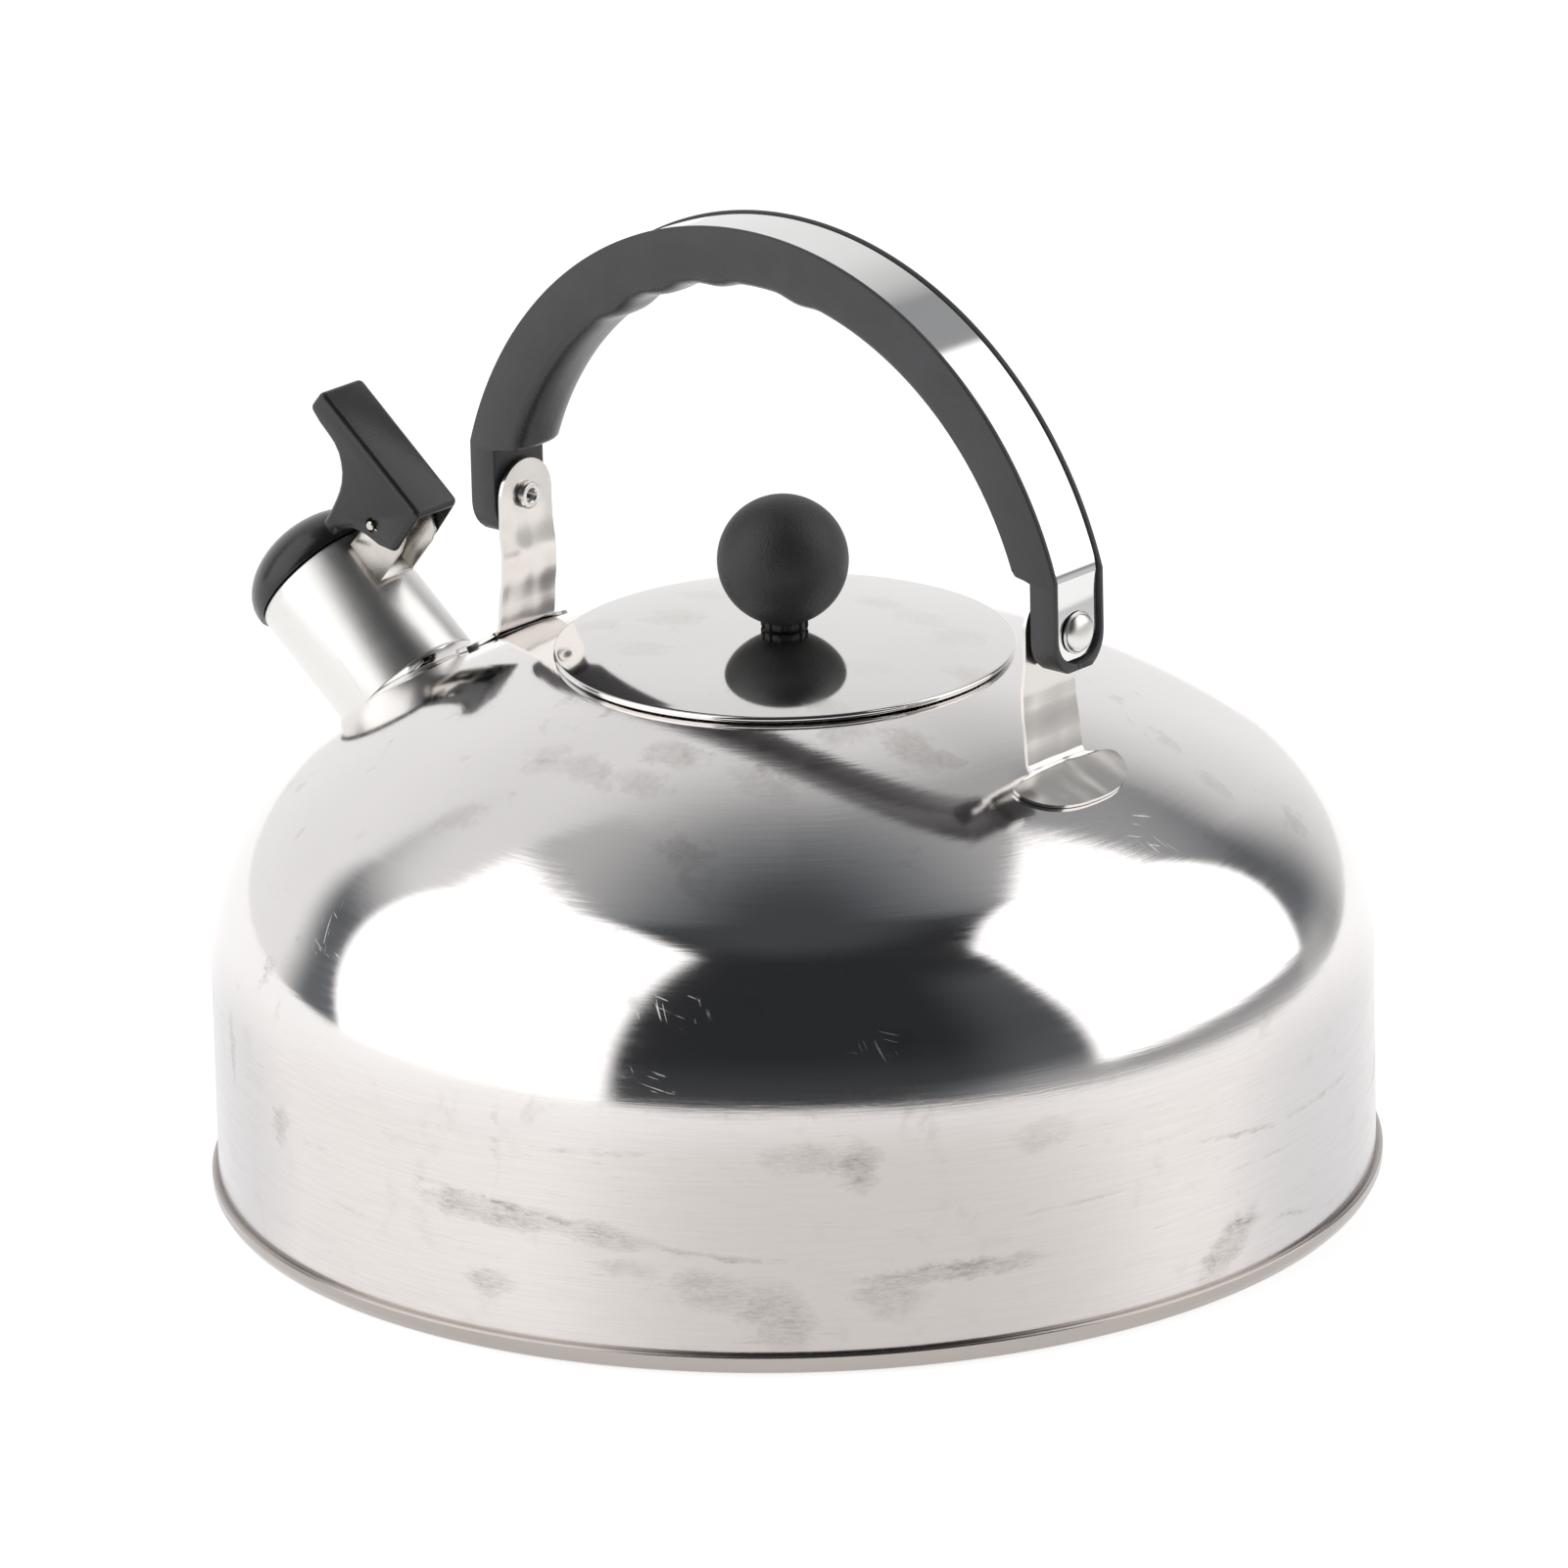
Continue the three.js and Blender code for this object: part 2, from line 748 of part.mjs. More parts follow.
function lidKnob() {
  const foot = lidTop + gap;
  const centre = foot + neckHeight + Math.sqrt(knobRadius ** 2 - neckRadius ** 2);
  const ball = solid(turned(
    arc(0, centre, knobRadius, -90, 90, 12).map(([r, z]) => [Math.abs(r) < 1e-9 ? 0 : r, z]),
    smallFacets,
  ));
  const flutes = 10;
  const outline = [];
  for (let i = 0; i < 4 * flutes; i += 1) {
    const angle = (2 * Math.PI * i) / (4 * flutes);
    const r = neckRadius - fluteDepth * (0.5 - 0.5 * Math.cos(flutes * angle));
    outline.push([r * Math.cos(angle), r * Math.sin(angle)]);
  }
  const neck = solid(prism(outline, foot, centre));
  const bore = solid(rod(screwRadius + gap, foot - 1, lidTop + screwLength + 1.5, 20));
  return ball.add(neck).subtract(bore);
}

const washerTop = lidTop - sheet - gap;
const screwSeat = washerTop - washerThickness - gap;

function knobWasher() {
  const hole = screwRadius + gap;
  const foot = washerTop - washerThickness;
  const profile = [[hole, foot], [washerRadius, foot], [washerRadius, washerTop], [hole, washerTop]];
  return solid(turned(profile, smallFacets));
}

function knobScrew() {
  const head = 2 * screwRadius;
  const profile = [
    [0, screwSeat - 2.4],
    [0.75 * head, screwSeat - 2.1],
    [head, screwSeat - 1.1],
    [head, screwSeat],
    [screwRadius, screwSeat],
    [screwRadius, lidTop + screwLength],
    [0, lidTop + screwLength],
  ];
  return solid(turned(profile, 20));
}

// ---- Nodes ----

addNode('body_shell', bodyShell(), ...polished);
addNode('base_pan', basePan(), ...satin);
addNode('spout_tube', spoutTube(), ...polished);
addNode('whistle_bracket', whistleBracket(), ...satin);
addNode('whistle_cap', whistleCap(), ...blackSatin);
addNode('whistle_sleeve', whistleSleeve(), ...satin);
addNode('whistle_inner_disc', whistleDisc(gap - sleeveDepth), ...satin);
addNode('whistle_outer_disc', whistleDisc(sleeveReach - gap - 2), ...satin);
addNode('whistle_pin', pinRod(pinRadius, leverHalfWidth + 0.7), ...satin);
addNode('whistle_spring', whistleSpring(), ...satin);
for (const [suffix, side] of [['left', -1], ['right', 1]]) {
  addNode(`handle_bracket_${suffix}`, handleBracket(side), ...polished);
  addNode(`handle_rivet_${suffix}`, handleRivet(side), ...polished);
}
addNode('handle_grip', handleGrip(), ...blackPlastic);
addNode('handle_strip', handleStrip(), ...polished);
addNode('lid_shell', lidShell(), ...polished);
addNode('lid_skirt', lidSkirt(), ...satin);
addNode('lid_knob', lidKnob(), ...blackPlastic);
addNode('knob_washer', knobWasher(), ...satin);
addNode('knob_screw', knobScrew(), ...satin);

export default group;
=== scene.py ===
import json
import math

import bmesh
import bpy
from mathutils import Matrix, Vector
from mathutils.geometry import delaunay_2d_cdt


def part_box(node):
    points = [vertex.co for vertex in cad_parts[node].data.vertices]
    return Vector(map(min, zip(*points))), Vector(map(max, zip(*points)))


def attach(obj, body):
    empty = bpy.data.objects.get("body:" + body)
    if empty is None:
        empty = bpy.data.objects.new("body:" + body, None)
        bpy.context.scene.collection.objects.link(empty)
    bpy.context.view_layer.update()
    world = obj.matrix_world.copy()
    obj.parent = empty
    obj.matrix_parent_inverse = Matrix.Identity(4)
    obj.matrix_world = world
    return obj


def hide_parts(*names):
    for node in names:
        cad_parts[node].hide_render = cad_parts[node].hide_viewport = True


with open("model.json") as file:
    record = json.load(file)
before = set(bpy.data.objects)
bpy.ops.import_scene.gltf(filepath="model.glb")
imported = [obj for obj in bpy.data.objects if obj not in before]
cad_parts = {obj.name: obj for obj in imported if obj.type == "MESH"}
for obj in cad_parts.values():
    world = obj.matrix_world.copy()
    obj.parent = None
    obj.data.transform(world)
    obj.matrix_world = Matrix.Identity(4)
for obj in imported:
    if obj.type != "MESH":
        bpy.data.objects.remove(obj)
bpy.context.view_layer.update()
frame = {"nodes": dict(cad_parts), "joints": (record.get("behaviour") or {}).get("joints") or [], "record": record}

mm = 0.001
scene = bpy.context.scene
joints = {j["name"]: j for j in frame["joints"]}


def nodeBox(name):
    low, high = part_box(name)
    return low / mm, high / mm


class Sock:
    def __init__(self, tree, out):
        self.tree = tree
        self.out = out

    def math(self, operation, *values):
        return node(self.tree, "ShaderNodeMath", {"operation": operation}, dict(enumerate(values)))

    def __add__(self, other):
        return self.math("ADD", self, other)

    def __radd__(self, other):
        return self.math("ADD", other, self)

    def __sub__(self, other):
        return self.math("SUBTRACT", self, other)

    def __rsub__(self, other):
        return self.math("SUBTRACT", other, self)

    def __mul__(self, other):
        return self.math("MULTIPLY", self, other)

    def __rmul__(self, other):
        return self.math("MULTIPLY", other, self)

    def __truediv__(self, other):
        return self.math("DIVIDE", self, other)

    def __pow__(self, other):
        return self.math("POWER", self, other)

    def step(self, low, high):  # smooth rise from 0 at low to 1 at high
        return node(
            self.tree,
            "ShaderNodeMapRange",
            {"interpolation_type": "SMOOTHSTEP"},
            {0: self, 1: low, 2: high, 3: 0.0, 4: 1.0},
        )


def plug(tree, socket, value):
    if isinstance(value, Sock):
        tree.links.new(value.out, socket)
    elif isinstance(value, (tuple, list)) and len(value) == 3 and socket.type == "RGBA":
        socket.default_value = (*value, 1.0)
    else:
        socket.default_value = value


def node(tree, kind, settings=None, sockets=None, out=0):
    made = tree.nodes.new(kind)
    for key, value in (settings or {}).items():
        setattr(made, key, value)
    for key, value in (sockets or {}).items():
        plug(tree, made.inputs[key], value)
    return Sock(tree, made.outputs[out]) if made.outputs else None


def mixColour(tree, factor, a, b):
    return node(tree, "ShaderNodeMix", {"data_type": "RGBA"}, {0: factor, 6: a, 7: b}, out=2)


def noise(tree, vector, scale, detail=3.0, rough=0.55, distortion=0.0):
    sockets = {"Vector": vector, "Scale": scale, "Detail": detail, "Roughness": rough}
    return node(tree, "ShaderNodeTexNoise", {}, {**sockets, "Distortion": distortion})


def parted(tree, vector):
    made = node(tree, "ShaderNodeSeparateXYZ", {}, {0: vector})
    return [Sock(tree, end) for end in made.out.node.outputs]


def combine(tree, x, y, z):
    return node(tree, "ShaderNodeCombineXYZ", {}, {0: x, 1: y, 2: z})


class Surface:
    # one material: coordinates in millimetres and the shader's sockets
    def __init__(self, name, **fixed):
        self.material = bpy.data.materials.new(name)
        self.material.use_nodes = True
        self.tree = self.material.node_tree
        self.shader = next(n for n in self.tree.nodes if n.type == "BSDF_PRINCIPLED")
        place = node(self.tree, "ShaderNodeTexCoord", out="Object")
        sockets = {0: place, "Scale": 1000.0}
        self.place = node(self.tree, "ShaderNodeVectorMath", {"operation": "SCALE"}, sockets)
        self.x, self.y, self.z = parted(self.tree, self.place)
        self.set(**fixed)

    def set(self, **values):
        for key, value in values.items():
            plug(self.tree, self.shader.inputs[key.replace("_", " ")], value)

    def bump(self, height, strength, distance=mm):
        sockets = {"Strength": strength, "Distance": distance, "Height": height}
        self.set(Normal=node(self.tree, "ShaderNodeBump", {}, sockets))

    def stretched(self, ax, ay, az):
        return combine(self.tree, self.x * ax, self.y * ay, self.z * az)


def makeObject(name, verts, faces, material, normals=None, sharp=38.0):
    mesh = bpy.data.meshes.new(name)
    mesh.from_pydata([(v[0] * mm, v[1] * mm, v[2] * mm) for v in verts], [], faces)
    mesh.validate()
    mesh.materials.append(material)
    mesh.shade_smooth()
    made = bpy.data.objects.new(name, mesh)
    scene.collection.objects.link(made)
    if normals is not None:
        mesh.normals_split_custom_set_from_vertices([tuple(n) for n in normals])
    else:
        outward(mesh)
        mesh.set_sharp_from_angle(angle=math.radians(sharp))
    return made


def outward(mesh):
    work = bmesh.new()
    work.from_mesh(mesh)
    bmesh.ops.recalc_face_normals(work, faces=work.faces)
    work.to_mesh(mesh)
    work.free()


def ringFaces(starts, count, loop):
    faces = []
    spans = len(starts) if loop else len(starts) - 1
    for i in range(spans):
        (a, na), (b, nb) = starts[i], starts[(i + 1) % len(starts)]
        for j in range(count):
            k = (j + 1) % count
            face = [a + j % na, a + k % na, b + k % nb, b + j % nb]
            face = list(dict.fromkeys(face))
            if len(face) > 2:
                faces.append(face)
    return faces


def turned(profile, count, place=None):
    # profile of (radius, height) turned round local Z, closed on the axis or on itself
    verts = []
    starts = []
    for r, z in profile:
        if r < 1e-6:
            starts.append((len(verts), 1))
            verts.append(Vector((0, 0, z)))
            continue
        starts.append((len(verts), count))
        for i in range(count):
            a = 2 * math.pi * i / count
            verts.append(Vector((r * math.cos(a), r * math.sin(a), z)))
    loop = profile[0][0] > 1e-6
    faces = ringFaces(starts, count, loop)
    if place is not None:
        verts = [place @ v for v in verts]
    return verts, faces


def lofted(rings):
    # closed rings joined in order, the two ends filled
    count = len(rings[0])
    verts = [v for ring in rings for v in ring]
    faces = ringFaces([(i * count, count) for i in range(len(rings))], count, False)
    faces.append(list(range(count)))
    faces.append([len(verts) - count + i for i in range(count)])
    return verts, faces


def prism(outline, low, high, place=None):
    rings = [[Vector((x, y, z)) for x, y in outline] for z in (low, high)]
    verts, faces = lofted(rings)
    return ([place @ v for v in verts] if place is not None else verts), faces


def joined(*shapes):
    verts, faces = [], []
    for shapeVerts, shapeFaces in shapes:
        start = len(verts)
        verts += shapeVerts
        faces += [[start + i for i in face] for face in shapeFaces]
    return verts, faces


def arc(cx, cy, r, start, end, steps, ry=None):
    ry = r if ry is None else ry
    angles = [math.radians(start + (end - start) * i / steps) for i in range(steps + 1)]
    return [(cx + r * math.cos(a), cy + ry * math.sin(a)) for a in angles]


def rounded(corners, radius, steps=4, radii=None):
    # an outline with its corners rounded
    points = []
    total = len(corners)
    for i, corner in enumerate(corners):
        p = Vector(corner)
        before, after = Vector(corners[i - 1]) - p, Vector(corners[(i + 1) % total]) - p
        r = radii[i] if radii else radius
        if r <= 0:
            points.append(tuple(p))
            continue
        half = before.angle(after) / 2
        reach = min(r / math.tan(half), 0.48 * before.length, 0.48 * after.length)
        a, b = p + before.normalized() * reach, p + after.normalized() * reach
        for k in range(steps + 1):
            t = k / steps
            points.append(tuple(a * (1 - t) ** 2 + p * 2 * t * (1 - t) + b * t * t))
    return points


def settled(made):
    # modifiers baked into a plain mesh
    graph = bpy.context.evaluated_depsgraph_get()
    mesh = bpy.data.meshes.new_from_object(made.evaluated_get(graph))
    old = made.data
    made.modifiers.clear()
    made.data = mesh
    bpy.data.meshes.remove(old)
    return made


def cutBy(made, *shapes):
    for verts, faces in shapes:
        cutter = makeObject("cutter", verts, faces, made.data.materials[0])
        change = made.modifiers.new("cut", "BOOLEAN")
        change.operation = "DIFFERENCE"
        change.solver = "EXACT"
        change.object = cutter
        settled(made)
        bpy.data.objects.remove(cutter)
    return made


def softEdges(made, width, segments=3, angle=32.0):
    change = made.modifiers.new("soft", "BEVEL")
    change.width = width * mm
    change.segments = segments
    change.limit_method = "ANGLE"
    change.angle_limit = math.radians(angle)
    change.harden_normals = True
    settled(made)
    made.data.shade_smooth()
    made.data.set_sharp_from_angle(angle=math.radians(50))
    return made


def place(made, body, slot, *nodes):
    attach(made, body)
    if nodes:
        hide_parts(*nodes)


steel = {
    "colour": (0.80, 0.785, 0.76),
    "stain": (0.50, 0.455, 0.40),
}


def roundCoordinates(s, around, along):
    # a coordinate slow round the axis and quick along the profile
    reach = (s.x * s.x + s.y * s.y + 0.01) ** 0.5
    return combine(s.tree, s.x / reach * around, s.y / reach * around, (s.z - reach) * along)


def steelSurface(name, roughness, stains, brushed, spread=(1.0, 1.0, 1.0), lines=None, colour=None, grain=0.5,
                 waves=0.0, marks=None):
    s = Surface(name, Metallic=1.0)
    t = s.tree
    lineAt = lines(s) if lines else roundCoordinates(s, 3.0, 1.6)
    fine = noise(t, lineAt, 4.0, 4.0, 0.7)
    broad = noise(t, s.place, 0.02, 3.0, 0.5)
    blot = noise(t, s.stretched(*spread), 0.055, 5.0, 0.62, 0.6)
    speck = noise(t, s.stretched(0.9, 0.9, 1.1), 0.5, 4.0, 0.7)
    gate = noise(t, s.place, 0.017, 2.0)
    stain = blot.step(0.62, 0.74) * speck.step(0.30, 0.62) * gate.step(0.42, 0.58) * stains
    scuffAt = roundCoordinates(s, 34.0, 0.55)
    scuff = noise(t, scuffAt, 1.0, 4.0, 0.66, 0.3).step(0.64, 0.72) * stains * 0.45
    mark = stain + scuff + topMarks(s, marks) if marks else stain + scuff
    mark = mark.math("MINIMUM", mark, 1.0)
    colour = colour or steel["colour"]
    plain = mixColour(t, broad.step(0.3, 0.7), colour, tuple(c * 0.955 for c in colour))
    s.set(Base_Color=mixColour(t, mark * 0.62, plain, steel["stain"]))
    s.set(Roughness=roughness + mark * 0.2 + (fine - 0.5) * brushed + (broad - 0.5) * 0.05)
    if waves:
        rumple = noise(t, s.stretched(1.0, 1.5, 0.55), 0.11, 0.0, 0.4, 0.2)
        s.bump(rumple + fine * 0.006, waves, 0.0013)
    else:
        s.bump(fine + speck * 0.15, grain * brushed, 0.00004)
    return s.material


# handling marks on the body: degrees round, height, half length, half height, lean, strength
bodyMarks = [
    (-79.0, 27.2, 19.5, 3.51, -0.03, 0.75),
    (-68.0, 25.8, 14.3, 2.97, -0.14, 0.6),
    (-47.7, 41.8, 10.4, 3.78, 0.0, 0.5),
    (-42.6, 39.8, 5.46, 6.21, 0.0, 0.95),
    (-2.2, 10.0, 11.05, 4.86, 0.5, 0.8),
    (-56.5, 16.2, 9.75, 4.86, -0.1, 0.6),
    (-50.5, 11.2, 9.1, 8.1, -0.3, 0.75),
    (-33.5, 17.9, 22.1, 2.295, 0.02, 0.85),
    (-39.5, 14.4, 8.45, 5.67, 0.1, 0.6),
    (-79.6, 13.6, 7.15, 3.24, 0.0, 0.6),
    (-64.5, 19.5, 6.5, 2.025, -0.1, 0.4),
    (-113.5, 57.5, 2.08, 4.05, 0.4, 0.6),
    (-121.0, 38.0, 1.82, 9.45, 0.2, 0.6),
    (-109.0, 30.0, 2.86, 5.4, 0.6, 0.6),
    (-24.0, 42.0, 7.8, 4.05, 0.0, 0.35),
    (40.0, 22.0, 15.6, 4.05, 0.1, 0.6),
    (95.0, 17.0, 19.5, 3.51, -0.1, 0.6),
    (150.0, 27.0, 14.3, 5.4, 0.05, 0.55),
    (-160.0, 14.0, 16.9, 3.24, 0.1, 0.55),
]
# drag lines: degrees round, height, half length, half height, lean, bow, strength
dragLines = [
    (-77.0, 29.2, 27.0, 0.85, -0.13, -0.0022, 0.75),
    (-55.0, 22.6, 20.0, 0.765, -0.10, 0.004, 0.8),
    (-34.0, 19.0, 22.0, 0.68, -0.03, 0.0, 0.6),
    (1.0, 31.0, 17.0, 0.765, -0.13, 0.0, 0.85),
    (14.0, 29.8, 19.0, 0.765, 0.0, 0.001, 0.7),
    (3.0, 24.5, 13.0, 0.595, -0.02, 0.0, 0.5),
    (5.0, 12.0, 16.0, 1.02, -0.22, 0.0, 0.85),
    (-66.0, 42.0, 17.0, 0.85, 0.02, -0.003, 0.6),
    (-78.0, 41.0, 1.2, 10.2, 0.0, 0.0, 0.4),
    (-103.0, 29.5, 7.0, 0.85, 0.1, 0.0, 0.5),
    (-96.0, 20.0, 9.0, 0.595, -0.1, 0.0, 0.4),
    (-20.0, 27.5, 13.0, 0.595, 0.02, 0.0, 0.45),
    (60.0, 30.0, 25.0, 0.765, 0.06, 0.001, 0.6),
    (120.0, 24.0, 30.0, 0.765, -0.05, 0.001, 0.6),
    (175.0, 20.0, 24.0, 0.765, 0.05, 0.0, 0.6),
]
# clusters of fine bright scratches on the shoulder: degrees round, height, half length, half height
scratchSpots = [
    (-104.0, 69.0, 9.0, 6.0),
    (-94.0, 58.0, 5.0, 4.0),
    (-60.0, 68.0, 9.0, 3.0),
    (-63.0, 56.0, 6.0, 3.5),
    (-6.5, 67.0, 4.0, 7.0),
    (3.0, 84.0, 8.0, 4.0),
    (-40.0, 62.0, 7.0, 4.0),
    (80.0, 70.0, 9.0, 5.0),
    (140.0, 66.0, 9.0, 5.0),
]

# smudges on the dome and on the lid, seen from above: x, y, half sizes, strength
domeMarks = [
    (17.3, -50.4, 5.0, 3.0, 0.60),
    (37.3, -26.4, 4.0, 5.0, 0.55),
    (50.1, -20.5, 6.0, 4.0, 0.70),
    (4.4, -60.5, 6.0, 3.0, 0.50),
    (16.9, -59.5, 5.0, 2.5, 0.50),
    (35.0, -67.8, 4.0, 3.0, 0.70),
    (-5.3, -60.6, 5.0, 3.0, 0.40),
    (55.2, -18.2, 3.0, 2.0, 0.50),
    (-12.4, -77.3, 4.0, 2.5, 0.40),
    (66.9, 31.1, 3.0, 2.0, 0.40),
    (78.8, 31.0, 3.0, 2.0, 0.35),
    (36.5, -47.5, 6.0, 3.0, 0.35),
    (78.5, -19.4, 5.0, 3.0, 0.30),
    (32.9, -8.9, 4.0, 2.0, 0.40),
]
lidMarks = [
    (4.4, 23.9, 5.0, 3.0, 0.65),
    (-21.4, -6.8, 6.0, 4.0, 0.70),
    (43.1, 5.9, 6.0, 4.0, 0.80),
    (-14.1, -23.3, 5.0, 3.0, 0.60),
    (15.4, 21.2, 6.0, 3.0, 0.45),
    (-26.8, 7.6, 5.0, 3.0, 0.50),
    (35.9, -24.7, 9.0, 2.5, 0.50),
    (26.2, 18.5, 4.0, 5.0, 0.50),
    (-33.2, -15.8, 4.0, 3.0, 0.45),
    (25.6, -7.4, 4.0, 3.0, 0.30),
]


def patch(arcAt, z, spot, soft):
    # an oval round a place on the shell, 1 inside and 0 outside
    degrees, height, halfLength, halfHeight, lean = spot[:5]
    du = arcAt - degrees * 1.92
    dv = z - height - du * lean
    if len(spot) > 6:
        dv = dv - du * du * spot[5]
    reach = (du / halfLength) * (du / halfLength) + (dv / halfHeight) * (dv / halfHeight)
    return 1 - reach.step(1.0 - soft, 1.0)


def greatest(values):
    most = values[0]
    for value in values[1:]:
        most = most.math("MAXIMUM", most, value)
    return most


def topMarks(s, marks):
    # greasy smudges at places seen from above
    wander = noise(s.tree, s.place, 0.22, 4.0, 0.7)
    grit = noise(s.tree, s.place, 0.7, 5.0, 0.7)
    found = []
    for x, y, halfX, halfY, strength in marks:
        du = s.x - x + (wander - 0.5) * 12.0
        dv = s.y - y + (wander - 0.5) * 9.0
        reach = (du / halfX) * (du / halfX) + (dv / halfY) * (dv / halfY)
        found.append((1 - reach.step(0.0, 2.2)) * strength * 0.62)
    return greatest(found) * (0.6 + grit.step(0.35, 0.65) * 0.4)


def bodySurface():
    # mirror-bright above, fine lines round the straight wall, handling marks low down, and painted shade on the
    # wall towards the camera and on its two flanks
    s = Surface("bodySteel", Metallic=1.0)
    t = s.tree
    wall = 1 - s.z.step(40.0, 58.0)
    fine = noise(t, roundCoordinates(s, 3.0, 1.0), 2.6, 4.0, 0.7)
    streak = noise(t, roundCoordinates(s, 2.0, 0.3), 2.4, 5.0, 0.62, 0.2)
    broad = noise(t, s.place, 0.014, 3.0, 0.5)
    ragged = noise(t, s.stretched(0.8, 0.8, 1.7), 0.17, 6.0, 0.74)
    speck = noise(t, s.stretched(0.45, 0.45, 2.4), 1.5, 4.0, 0.8)
    blotch = noise(t, s.place, 0.085, 4.0, 0.62, 0.4)
    around = s.y.math("ARCTAN2", s.y, s.x) * 110.0
    arcAt = around + (ragged - 0.5) * 13.0
    heightAt = s.z + (noise(t, s.stretched(0.6, 0.6, 0.9), 0.4, 5.0, 0.7) - 0.5) * 5.0
    smudge = greatest([patch(arcAt, heightAt, m, 1.0) * m[5] for m in bodyMarks])
    lineAt = s.z + (ragged - 0.5) * 2.2
    drag = greatest([patch(arcAt, lineAt, m, 1.0) * m[6] for m in dragLines])
    faint = blotch.step(0.56, 0.72) * wall * 0.22
    haze = blotch.step(0.60, 0.72) * (1 - wall) * 0.26
    hatch = noise(t, combine(t, around * 0.35, s.z * 2.6, 5.0), 1.0, 5.0, 0.75, 0.3)
    grain = 0.25 + speck.step(0.36, 0.62) * 0.45 + hatch.step(0.44, 0.6) * 0.45
    smudge = smudge * grain * (0.6 + ragged.step(0.4, 0.6) * 0.4)
    drag = drag * ragged.step(0.40, 0.62) * (0.35 + hatch.step(0.4, 0.6) * 0.5)
    dash = noise(t, combine(t, around * 0.11, s.z * 1.25, 21.0), 1.0, 3.0, 0.6, 0.2)
    dash = dash.step(0.63, 0.72) * wall * 0.30
    mark = smudge + drag + faint * speck.step(0.3, 0.7) + haze + dash * ragged.step(0.42, 0.6)
    mark = mark + topMarks(s, domeMarks) * (1 - wall)
    mark = mark.math("MINIMUM", mark, 1.0)
    # painted shade: a broad darker patch on the wall's side towards the camera, standing in for the reflection of
    # the studio's dark front
    near = patch(around, s.z, (-42.0, 18.0, 66.0, 60.0, 0.0), 0.98)
    upright = combine(t, around * 1.9 + s.z * 0.9, s.z * 0.14, 3.0)
    level = combine(t, around * 0.1 - s.z * 0.05, s.z * 1.9 + around * 0.5, 9.0)
    hair = noise(t, upright, 1.0, 1.0, 0.5, 0.15).step(0.66, 0.71)
    hair = hair + noise(t, level, 1.0, 1.0, 0.5, 0.15).step(0.68, 0.73)
    scratchZone = greatest([patch(arcAt, heightAt, (*m, 0.0), 0.8) for m in scratchSpots])
    scratch = hair * scratchZone
    clean = mixColour(t, broad.step(0.3, 0.7), (0.83, 0.805, 0.795), (0.79, 0.765, 0.755))
    warm = mixColour(t, wall, clean, (0.77, 0.727, 0.706))
    lined = mixColour(t, (fine - 0.5) * wall * 0.9 + wall * 0.12, warm, (0.60, 0.56, 0.54))
    wallWithPaintedShade = mixColour(t, near * wall * 0.75, lined, (0.50, 0.46, 0.445))
    # painted shade: bluish darker patches on the wall's two flanks, standing in for reflections of the
    # surroundings
    paintedFlankShade = greatest([patch(around, s.z, (at, 20.0, 44.0, 52.0, 0.0), 0.98) for at in (18.0, -126.0)])
    wallWithPaintedShade = mixColour(t, paintedFlankShade * wall * 0.5, wallWithPaintedShade, (0.47, 0.475, 0.50))
    stained = mixColour(t, mark * 0.86, wallWithPaintedShade, (0.30, 0.265, 0.245))
    s.set(Base_Color=mixColour(t, scratch * 0.4, stained, (0.95, 0.95, 0.95)))
    rough = 0.085 + wall * 0.13 + (streak - 0.5) * 0.10 + (fine - 0.5) * (0.03 + wall * 0.14)
    rough = rough + mark * 0.14 + scratch * 0.25
    s.set(Roughness=rough.math("MAXIMUM", rough, 0.04))
    s.bump(fine * (0.25 + wall * 0.8) + streak * 0.6, 0.17, 0.00009)
    return s.material


def plasticSurface(name, colour, roughness, grainScale, grain, glossy=None):
    s = Surface(name, Specular_IOR_Level=0.5)
    t = s.tree
    pebble = noise(t, s.place, grainScale, 3.0, 0.6)
    worn = noise(t, s.place, 0.08, 4.0, 0.6)
    lighter = tuple(c * 1.55 for c in colour)
    rubbed = worn.step(0.35, 0.75) * 0.6 + pebble.step(0.55, 0.8) * 0.25
    s.set(Base_Color=mixColour(t, rubbed, colour, lighter))
    level = roughness + (worn - 0.5) * 0.12 + (pebble - 0.5) * 0.08
    s.set(Roughness=glossy(s, level) if glossy else level)
    s.bump(pebble, grain, 0.0002)
    return s.material


print("materials")
spoutAngle = math.radians(39.2)
pinPlace = Vector(joints["whistle_lift"]["pos_m"]) / mm
pivotZ = joints["handle_fold"]["pos_m"][2] / mm
spout = {
    "radius": 14.5,
    "wall": 0.6,
    "length": 29.4,
    "pinU": -4.5,
    "pinV": 23.75,
    "fillet": 3.2,
    "cutRadius": 19.6,
    "columns": 96,
}
spoutOut = Vector((-math.cos(spoutAngle), 0, math.sin(spoutAngle)))
spoutUp = Vector((math.sin(spoutAngle), 0, math.cos(spoutAngle)))
spoutMouth = pinPlace - spoutOut * spout["pinU"] - spoutUp * spout["pinV"]


def frameOf(x, y, z, origin):
    return Matrix((
        (x[0], y[0], z[0], origin[0]),
        (x[1], y[1], z[1], origin[1]),
        (x[2], y[2], z[2], origin[2]),
        (0, 0, 0, 1),
    ))


alongSpout = frameOf(spoutUp, Vector((0, 1, 0)), spoutOut, spoutMouth)
spoutSide = frameOf(spoutOut, spoutUp, Vector((0, 1, 0)), spoutMouth)


def spoutLines(s):
    # lines round the tube
    along = s.x * spoutOut.x + s.z * spoutOut.z
    across = s.x * spoutUp.x + s.z * spoutUp.z
    return combine(s.tree, along * 2.2, across * 0.05, s.y * 0.05)


